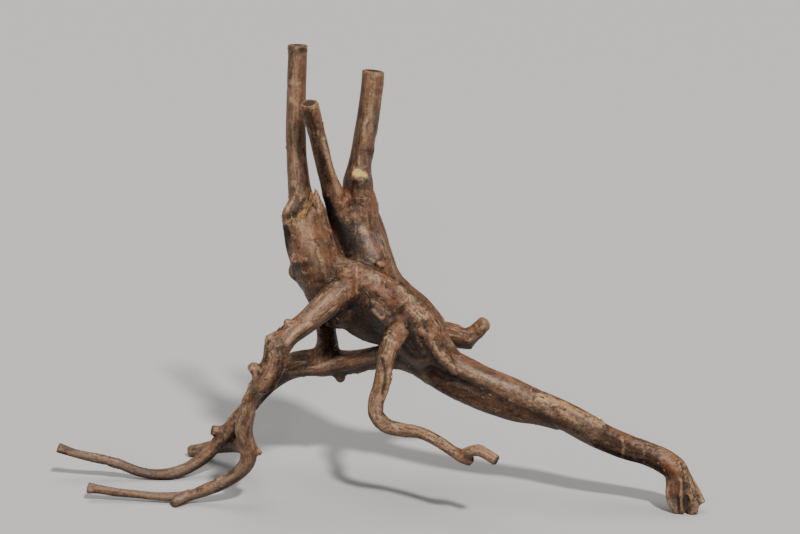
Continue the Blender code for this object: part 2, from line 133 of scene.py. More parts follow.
# Runs of wood with the grain along them, as in the part: points (x, y, z, radius) and the way a cut end faces
rootStrands = {
    "leftTrunk": {
        "points": [(-50, 61, 160, 19), (-65, 55, 188, 20.5), (-72, 52, 211, 20), (-78, 52, 231, 18),
                   (-80, 52, 243.5, 16.5)],
        "cut": (-0.3, -0.25, 0.92),
    },
    "tornSplinter": {
        "points": [(-65, 52, 226, 8), (-66.5, 47, 243, 6), (-68, 44, 255, 3.4), (-68.5, 43, 262, 1.4)],
    },
    "rightTrunk": {
        "points": [(2, 62, 148, 19), (-11, 63, 165, 20.5), (-21, 68, 185, 20.3),
                   (-27.5, 74, 205, 18.8), (-33, 78, 226, 15.5), (-35, 79, 247, 13),
                   (-35, 80, 261, 11)],
    },
    "body": {
        "points": [(-40, 60, 180, 15), (-22, 60, 169, 18), (-4, 60, 155, 20), (10, 59, 140, 19.5),
                   (20, 57, 127, 17)],
    },
    "belly": {
        "points": [(-44, 72, 163, 18), (-27, 74, 149, 20.5), (0, 72, 137, 19.5), (22, 66, 120, 14.5)],
    },
    "crown": {
        "points": [(-32, 50, 178, 9), (-17, 47, 168, 12), (0, 47, 155, 13.5), (14, 49, 140, 13.5),
                   (22, 52, 128, 11)],
    },
    "hip": {
        "points": [(0, 66, 167, 12), (16, 62, 158.5, 10.5), (27, 58, 145, 10)],
    },
    "crotchWeb": {
        "points": [(-50, 70, 186, 10), (-53, 72, 205, 7.5), (-56, 73, 224, 6), (-60, 73, 238, 4)],
    },
    "saddleLip": {
        "points": [(-56, 50, 199, 9), (-38, 45, 193, 9), (-22, 42, 186, 9.5), (-6, 42, 174, 10.5),
                   (11, 44, 158, 11), (24, 48, 144, 11), (34, 52, 128, 10)],
    },
    "tallStem": {
        "points": [(-72, 64, 210, 14), (-80, 69, 238, 11.5), (-83.5, 72, 257, 9.6),
                   (-85.4, 74, 278, 9), (-86, 76, 298, 8.4), (-85.8, 76, 323, 7.9),
                   (-84.6, 76, 348, 7.8), (-83.2, 76, 377, 8)],
        "cut": "square",
    },
    "middleStem": {
        "points": [(-36, 76, 208, 15), (-45.5, 74, 228, 12.5), (-52, 68, 246, 9.8),
                   (-57, 62, 261, 8.2), (-61, 56, 277, 7.2), (-64.5, 51, 295, 7),
                   (-68.4, 48, 313, 7.1), (-73.4, 45, 334, 7.6)],
        "cut": (-0.12, -0.3, 0.95),
    },
    "rightStem": {
        "points": [(-32, 79, 240, 13), (-35, 80, 256, 11), (-34.5, 80.5, 268, 10),
                   (-31.6, 82, 286, 9.3), (-27.8, 82, 309, 9.4), (-24.6, 82, 331, 9.2),
                   (-22, 82, 355, 8.8)],
        "cut": "square",
    },
    "frontLeg": {
        "points": [(-38, 52, 184, 15), (-50, 38, 178, 12.6), (-64, 24, 168, 10.6),
                   (-79, 12, 157.5, 9.4), (-92, 4, 149, 9.4), (-99, 0, 141, 10.4),
                   (-101.5, -2, 130, 10), (-110, -2, 115, 9.2), (-117.5, 0, 105.5, 7.2),
                   (-122.5, 1, 97, 6), (-125, 2, 86, 6.8), (-128, 4, 71, 7.4), (-125.5, 7, 56, 6.8),
                   (-125, 9, 44, 6.6), (-132, 12, 32, 6.2), (-145, 15, 22, 5.9), (-162, 18, 13, 5.2),
                   (-178, 20, 7.3, 4.3), (-193, 22, 5.4, 3.5), (-218, 24, 6.6, 3.6),
                   (-239, 26, 8, 3.5), (-253, 27, 9.8, 3.7), (-262, 28, 10.7, 4.9)],
        "cut": "square",
    },
    "backRoot": {
        "points": [(26, 64, 120, 13), (10, 74, 116, 11.4), (-13, 84, 109.5, 9.8),
                   (-43, 92, 101.5, 10.4), (-69, 95, 101, 11), (-91, 95, 98, 11.2),
                   (-113, 95, 83, 8.8), (-128.5, 95, 63.5, 6.8), (-139, 93, 51.5, 6.9),
                   (-153, 91, 35, 6.6), (-163, 89, 24, 6), (-173, 86, 15, 5.5), (-185, 82, 8.5, 5.1),
                   (-198, 78, 5.4, 4.8), (-212, 77, 5, 4.4), (-226, 77, 7.6, 4.3), (-239, 77, 13, 4.4),
                   (-258, 77, 19, 4.3), (-280, 77, 24, 3.8), (-295, 77, 29.5, 4.4)],
        "cut": "square",
    },
    "column": {
        "points": [(-56, 66, 174, 15), (-64, 76, 158, 12.5), (-64, 83, 143, 9.6), (-63, 88, 130, 8.6),
                   (-63, 92, 116, 10), (-66, 94, 102, 13)],
    },
    "rightLeg": {
        "points": [(4, 60, 150, 17), (22, 58, 134, 13), (42, 52, 115.5, 10.6), (58.6, 47, 107.5, 10.4),
                   (77, 42, 99, 10.6), (96, 37, 91.4, 11.2), (114, 32, 84.3, 11.2),
                   (133, 27, 77.2, 11.6), (149.4, 23, 69, 12), (163, 19, 61.6, 11.6),
                   (175, 16, 56.5, 11), (189.4, 13, 51.5, 10.6), (205, 9, 47.6, 10),
                   (217.5, 6, 42.6, 10), (226, 4, 36, 9.2), (229.5, 5, 26, 8)],
    },
    "rightLegRib": {
        "points": [(-8, 82, 110, 10), (8, 74, 110, 11), (21, 66, 106, 11), (38, 58, 96.2, 10.6),
                   (56.4, 50, 89, 10.6), (75.5, 43, 82.5, 10.4), (94.5, 37, 77.4, 9.4),
                   (113, 32, 74.5, 8.4), (129, 28, 71.4, 7.5)],
    },
    "middleRoot": {
        "points": [(2, 46, 152, 10), (-2.5, 31, 146, 9), (-9, 21, 134.4, 8.2), (-13, 18, 119, 6.6),
                   (-15.6, 16, 104, 7), (-19.7, 12, 91, 6.5), (-19, 9, 81.4, 6.3), (-11.5, 4, 74.5, 6),
                   (1.6, -2, 72.4, 5.6), (16.3, -9, 72.4, 5), (31, -16, 67.4, 4.7),
                   (44.5, -23, 60.6, 4.7), (53, -27, 57, 5), (58, -27, 54, 4)],
        "cut": (0.75, 0.1, -0.5),
    },
    "middleRootHook": {
        "points": [(50, -26, 59, 4.5), (56, -31, 64, 4.3), (62, -34, 66.4, 4.6), (69, -38, 64.4, 4.4),
                   (77, -43, 60.6, 4.6)],
        "cut": "square",
    },
    "sideStub": {
        "points": [(20, 72, 132, 13), (32, 78, 131.5, 10.8), (44, 82, 129, 9.2), (55, 85, 125.5, 8.6),
                   (64, 86, 129.5, 6.8), (70.5, 86, 136, 6.6)],
    },
    "sideStubSpur": {
        "points": [(48, 84, 126, 7), (57, 85, 121.5, 5.4), (62.5, 86, 119.5, 4.4)],
        "cut": (0.9, -0.1, -0.4),
    },
    "rearRoot": {
        "points": [(-126, 8, 54, 6.5), (-129, 38, 45, 6.6), (-136, 72, 33, 6.8), (-144, 100, 24, 6.8),
                   (-162, 118, 16, 6.2), (-176, 130, 9.5, 5.6), (-188, 138, 4.6, 5.2)],
        "cut": (-0.8, 0.5, -0.1),
    },
    "toeLeft": {
        "points": [(226.5, 3, 36, 6.4), (226, 2, 20.5, 5.6), (227.5, 1, 8.7, 4.4), (229, 0, -1, 3.2)],
    },
    "toeLeftEdge": {
        "points": [(224, 1, 27, 2.6), (221, 0, 21.5, 1.9), (221.8, -1, 11, 1.7), (225.6, -2, 4, 1.7),
                   (228.8, -2, -2, 1.8)],
    },
    "toeRib": {
        "points": [(228.5, 1, 40, 4.6), (231.6, -3, 27, 3.1), (231.8, -4, 13, 2.6),
                   (232.4, -4, 2.5, 2.3)],
    },
    "toeMiddle": {
        "points": [(231.5, 2, 36, 4.8), (236.6, -2, 26, 3.7), (239.2, -3, 16, 4.2), (241, -2, 7, 5.1),
                   (240.8, -1, -3, 4.6)],
    },
    "toeRight": {
        "points": [(234, 5, 33, 4.2), (241.4, 4, 22, 3.7), (246.6, 3, 13, 3.7), (249, 2, 6.8, 4)],
        "cut": (0.45, -0.35, -0.82),
    },
    "toeBack": {
        "points": [(228, 8, 36, 7), (231, 9, 24, 7.4), (233, 9, 10, 7.6), (233, 9, -4, 7)],
    },
}
# Stubs, knots and broken twig ends that stand out of the strands
rootKnots = {
    "shoulderTwig": {
        "points": [(-33, 78, 238, 9), (-33, 72.5, 253, 8), (-33.5, 67, 272, 6.4)],
        "cut": (0.05, -0.52, 0.85),
    },
    "stemLip": {
        "points": [(-87, 66, 252, 3.4), (-91, 62, 244, 3.8), (-93.6, 58, 237, 3.6), (-92, 54, 229, 3)],
    },
    "elbowKnob": {
        "points": [(-97, 2, 143, 8), (-103.5, -1, 147.5, 5.6)],
    },
    "elbowSpur": {
        "points": [(-108, -2, 114, 8), (-115, -2, 122, 6), (-121.5, -2, 128, 3.4)],
        "cut": (-0.6, 0, 0.8),
    },
    "thighNub": {
        "points": [(-85, 7, 156, 6.5), (-90.5, 4, 161.5, 3.6)],
    },
    "shinNub": {
        "points": [(-124, 8, 53, 5), (-116, 7, 50, 2.4)],
    },
    "floorKnob": {
        "points": [(-176, 20, 8, 4), (-182, 16, 5.5, 4.2), (-189, 12, 3.6, 4.4)],
        "cut": (-0.75, -0.6, 0.1),
    },
    "backRootTwig": {
        "points": [(-148, 92, 37, 5), (-163, 88, 41.5, 4.5)],
        "cut": "square",
    },
    "leftTrunkNub": {
        "points": [(-80, 45, 205, 8), (-85.5, 40, 206, 4.6)],
    },
    "leftTrunkHeel": {
        "points": [(-74, 56, 196, 12), (-86, 54, 192, 6)],
    },
    "leftTrunkSpur": {
        "points": [(-70, 58, 190, 10), (-82, 56, 185, 4)],
    },
    "bellyNub": {
        "points": [(-54, 90, 98, 8), (-51, 88, 89, 4)],
    },
    "bodyRidge": {
        "points": [(-24, 40, 166, 4), (-16, 36, 160, 4.4), (-6, 37, 148, 4)],
    },
    "hipRidge": {
        "points": [(12, 38, 154, 4.5), (21, 37, 141, 5), (31, 40, 126, 5), (46, 42, 110, 4.6)],
    },
    "hollowKnob": {
        "points": [(-17, 55, 196, 6), (-16.5, 49, 199, 3.2)],
    },
    "backRootRidge": {
        "points": [(-93, 88, 95, 5), (-62, 84, 99, 5.4), (-41, 81, 104, 5), (-28, 76, 109.5, 4.8),
                   (-14, 68, 116, 5)],
    },
    "saddleKnot": {
        "points": [(-44, 46, 190, 9), (-44, 39.5, 192, 6.5)],
    },
    "rearTrunkRidge": {
        "points": [(-28, 94, 240, 7), (-20, 94, 212, 9), (-15, 90, 186, 10), (-10, 88, 160, 10),
                   (-8, 88, 132, 9)],
    },
    "rearKnot": {
        "points": [(-14, 86, 176, 8), (-11, 98, 181, 5.5)],
        "cut": (0.1, 0.95, 0.3),
    },
}


def sceneObject(name, data):
    obj = bpy.data.objects.new(name, data)
    bpy.context.scene.collection.objects.link(obj)
    return obj


def unit(vectors):
    return vectors / np.maximum(np.linalg.norm(vectors, axis=-1, keepdims=True), tiny)


def smoothStep(values, low, high):
    t = np.clip((values - low) / (high - low), 0, 1)
    return t * t * (3 - 2 * t)


def smoothPath(points, step):
    # A cubic through the points, in metres
    knots = np.array(points, float)
    knots[:, :3] -= rootWood["footprintMiddle"]
    knots *= mm
    spans = np.linalg.norm(np.diff(knots[:, :3], axis=0), axis=1)
    places = np.concatenate([[0], np.cumsum(spans)])
    slopes = np.gradient(knots, places, axis=0)
    samples = []
    for i, span in enumerate(spans):
        count = max(2, int(np.ceil(span / step)))
        t = np.linspace(0, 1, count, endpoint=False)[:, None]
        samples.append(
            (2 * t**3 - 3 * t**2 + 1) * knots[i]
            + (t**3 - 2 * t**2 + t) * span * slopes[i]
            + (3 * t**2 - 2 * t**3) * knots[i + 1]
            + (t**3 - t**2) * span * slopes[i + 1]
        )
    return np.concatenate([*samples, knots[-1:]])


class Strand:
    def __init__(self, name, points, cut=None):
        self.name = name
        path = smoothPath(points, rootWood["pathStep"] * mm)
        self.cutAt, self.cutFaces = None, None
        if cut is not None:
            last, before = path[-1], path[-2]
            ahead = unit(last[:3] - before[:3])
            self.cutAt = last[:3]
            self.cutRadius = last[3]
            self.cutFaces = ahead if isinstance(cut, str) else unit(np.array(cut, float))
            past = [np.append(last[:3] + ahead * last[3] * k, last[3]) for k in rootWood["runOn"]]
            path = np.concatenate([path, past])
        self.places, self.radii = path[:, :3], path[:, 3]
        self.along = unit(np.gradient(self.places, axis=0))
        runs = np.linalg.norm(np.diff(self.places, axis=0), axis=1)
        self.distance = np.concatenate([[0], np.cumsum(runs)])
        self.growth = np.gradient(self.radii, self.distance)
        low, high = rootWood["filletRange"]
        self.fillet = np.clip(np.median(self.radii) * rootWood["filletShare"], low * mm, high * mm)

    def depth(self, places):
        # How far each place is outside the strand, the way out and the sample that is nearest
        apart = places[:, None, :] - self.places[None, :, :]
        nearest = np.argmin(np.linalg.norm(apart, axis=2) - self.radii, axis=1)
        offset = places - self.places[nearest]
        along = self.along[nearest]
        run = np.sum(offset * along, axis=1)
        run = np.where((nearest == 0) & (run < 0), 0, run)
        run = np.where((nearest == len(self.places) - 1) & (run > 0), 0, run)
        across = offset - run[:, None] * along
        out = unit(across)
        outside = np.linalg.norm(across, axis=1) - self.radii[nearest] - self.growth[nearest] * run
        if self.cutAt is not None:
            beyond = (places - self.cutAt) @ self.cutFaces
            past = beyond > outside
            outside = np.where(past, beyond, outside)
            out = np.where(past[:, None], self.cutFaces, out)
        return outside, out, nearest


def tube(strand):
    # A curve with a round bevel, closed by a ball at each grown end and flat at a cut
    curve = bpy.data.curves.new("strand", "CURVE")
    curve.dimensions = "3D"
    curve.bevel_depth = 1.0
    curve.bevel_resolution = rootWood["tubeResolution"]
    curve.use_fill_caps = True
    spline = curve.splines.new("POLY")
    spline.points.add(len(strand.places) - 1)
    for point, place, radius in zip(spline.points, strand.places, strand.radii):
        point.co = (*place, 1)
        point.radius = radius
    guide = sceneObject("strand", curve)
    bpy.context.view_layer.update()
    mesh = bpy.data.meshes.new_from_object(guide.evaluated_get(bpy.context.evaluated_depsgraph_get()))
    bpy.data.objects.remove(guide)
    shape = bmesh.new()
    shape.from_mesh(mesh)
    bpy.data.meshes.remove(mesh)
    bmesh.ops.remove_doubles(shape, verts=shape.verts, dist=rootWood["weldGap"] * mm)
    if strand.cutAt is None:
        roundEnd(shape, strand.places[-1], strand.radii[-1])
    else:
        cutFlat(shape, strand.cutAt, strand.cutFaces)
    roundEnd(shape, strand.places[0], strand.radii[0])
    return shape


def roundEnd(shape, place, radius):
    sides, rings = rootWood["ballSides"]
    bmesh.ops.create_uvsphere(
        shape, u_segments=sides, v_segments=rings, radius=radius, matrix=Matrix.Translation(place)
    )


def cutFlat(shape, place, faces):
    parts = [*shape.verts, *shape.edges, *shape.faces]
    cut = bmesh.ops.bisect_plane(shape, geom=parts, plane_co=place, plane_no=faces, clear_outer=True)
    rim = [part for part in cut["geom_cut"] if isinstance(part, bmesh.types.BMEdge)]
    bmesh.ops.edgeloop_fill(shape, edges=rim)


def withModifier(obj, kind, **settings):
    modifier = obj.modifiers.new(kind.title(), kind)
    for name, value in settings.items():
        setattr(modifier, name, value)
    bpy.context.view_layer.update()
    mesh = bpy.data.meshes.new_from_object(obj.evaluated_get(bpy.context.evaluated_depsgraph_get()))
    obj.modifiers.remove(modifier)
    old = obj.data
    obj.data = mesh
    bpy.data.meshes.remove(old)


def vertexPlaces(mesh):
    flat = np.empty(len(mesh.vertices) * 3)
    mesh.vertices.foreach_get("co", flat)
    return flat.reshape(-1, 3)


def setPlaces(mesh, places):
    mesh.vertices.foreach_set("co", places.ravel())
    mesh.update()


def vertexNormals(mesh):
    flat = np.empty(len(mesh.vertices) * 3)
    mesh.vertex_normals.foreach_get("vector", flat)
    return flat.reshape(-1, 3)


def settle(places, strands):
    # Moves each place onto the wood's surface, where the strands flow into each other with soft fillets
    farthest, deepest = rootWood["farthestStep"] * mm, rootWood["deepestInFillets"]
    for _ in range(rootWood["settleRounds"]):
        total = np.full(len(places), tiny)
        slope = np.zeros_like(places)
        for strand in strands:
            margin = strand.radii.max() + rootWood["reachInFillets"] * strand.fillet
            low, high = strand.places.min(0) - margin, strand.places.max(0) + margin
            near = np.all((places > low) & (places < high), axis=1)
            outside, way, _ = strand.depth(places[near])
            weight = np.exp(np.clip(-outside / strand.fillet, -deepest, deepest))
            total[near] += weight
            slope[near] += way * (weight / strand.fillet)[:, None]
        slope /= total[:, None]
        step = np.log(total) / np.maximum(np.linalg.norm(slope, axis=1), rootWood["leastSlope"])
        places = places + unit(slope) * np.clip(step, -farthest, farthest)[:, None]
    return places


class Skin:
    # The wood's surface as arrays: its vertices, their neighbours, and what the grain does at each

    def __init__(self, mesh, strands):
        self.places = vertexPlaces(mesh)
        self.normals = vertexNormals(mesh)
        count = len(self.places)
        ends = np.empty(len(mesh.edges) * 2, int)
        mesh.edges.foreach_get("vertices", ends)
        ends = ends.reshape(-1, 2)
        self.tails = np.concatenate([ends[:, 0], ends[:, 1]])
        self.heads = np.concatenate([ends[:, 1], ends[:, 0]])
        self.degree = np.bincount(self.tails, minlength=count)
        self.strandOf = np.zeros(count, int)
        self.along = np.zeros(count)
        self.across = np.zeros((count, 3))
        self.thick = np.zeros(count)
        self.direction = np.zeros((count, 3))
        closest = np.full(count, np.inf)
        for number, strand in enumerate(strands):
            margin = strand.radii.max() + rootWood["skinReach"] * mm
            near = np.flatnonzero(
                np.all(
                    (self.places > strand.places.min(0) - margin) & (self.places < strand.places.max(0) + margin),
                    axis=1,
                )
            )
            outside, _, sample = strand.depth(self.places[near])
            closer = outside < closest[near]
            near, sample = near[closer], sample[closer]
            closest[near] = outside[closer]
            offset = self.places[near] - strand.places[sample]
            along = strand.along[sample]
            run = np.sum(offset * along, axis=1)
            self.strandOf[near] = number
            self.along[near] = (strand.distance[sample] + run) / mm + rootWood["grainApart"] * number
            self.across[near] = (offset - run[:, None] * along) / mm
            self.direction[near] = along
            self.thick[near] = np.median(strand.radii)
        # The grain turns smoothly from one strand to the next: directions without a sign are averaged
        spread = self.direction[:, :, None] * self.direction[:, None, :]
        spread = self.smoothed(spread.reshape(count, 9), rootWood["grainRounds"])
        _, ways = np.linalg.eigh(spread.reshape(count, 3, 3))
        way = ways[:, :, 2]
        way = way - np.sum(way * self.normals, axis=1, keepdims=True) * self.normals
        self.direction = unit(way)
        differs = self.strandOf[self.tails] != self.strandOf[self.heads]
        seam = np.bincount(self.tails, weights=differs, minlength=count) > 0
        seam = self.smoothed(seam.astype(float), rootWood["seamRounds"])
        self.seam = np.clip(seam * rootWood["seamStrength"], 0, 1)

    def smoothed(self, values, rounds, weights=None):
        # The mean over each vertex's neighbours and itself, several times over
        values = np.asarray(values, float)
        single = values.ndim == 1
        if single:
            values = values[:, None]
        count = len(self.places)
        if weights is None:
            weights = np.ones(len(self.tails))
        total = 1 + np.bincount(self.tails, weights=weights, minlength=count)
        for _ in range(rounds):
            columns = []
            for column in values.T:
                gathered = np.bincount(self.tails, weights=weights * column[self.heads], minlength=count)
                columns.append((column + gathered) / total)
            values = np.stack(columns, axis=1)
        return values[:, 0] if single else values

    def streaks(self, rounds, seed):
        # Random values drawn out along the grain, from 0 to 1
        step = unit(self.places[self.heads] - self.places[self.tails])
        lined = np.abs(np.sum(step * self.direction[self.tails], axis=1))
        weights = np.exp(rootWood["streakPull"] * (lined - 1)) * rootWood["streakWeight"]
        values = np.random.default_rng(seed).normal(size=len(self.places))
        values = self.smoothed(values, rounds, weights)
        return np.clip(0.5 + rootWood["streakContrast"] * values / values.std(), 0, 1)

    def bumpiness(self, rounds):
        # How far each vertex stands out of its surroundings, in millimetres
        mean = self.smoothed(self.places, rounds)
        return np.sum((self.places - mean) * self.normals, axis=1) / mm


def photoWay(pixelX, pixelY):
    # The way from the camera through a pixel of the photo
    view = photoView
    perPixel = view["sensor"] / view["lens"] / view["width"]
    right = (pixelX - view["width"] / 2) * perPixel
    up = (view["height"] / 2 - pixelY) * perPixel
    pitch = math.radians(view["pitchDown"])
    ahead = Vector((0, math.cos(pitch), -math.sin(pitch)))
    above = Vector((0, math.sin(pitch), math.cos(pitch)))
    return (ahead + above * up + Vector((1, 0, 0)) * right).normalized()


def cameraPlace():
    pitch = math.radians(photoView["pitchDown"])
    back = Vector((0, -math.cos(pitch), math.sin(pitch)))
    return Vector(photoView["target"]) + back * photoView["distance"]


def markPlaces(tree, pixels):
    # A line drawn over the photo, laid on the wood that shows under it
    places = []
    eye = cameraPlace()
    stops = [Vector(pixel) for pixel in pixels]
    steps = [(a, b) for a, b in zip(stops, stops[1:])] or [(stops[0], stops[0])]
    for a, b in steps:
        count = max(1, int((b - a).length / photoView["markStep"]))
        for i in range(count + 1):
            pixel = a.lerp(b, i / count)
            hit = tree.ray_cast(eye, photoWay(*pixel))[0]
            if hit is not None:
                places.append(hit)
    return np.array(places)
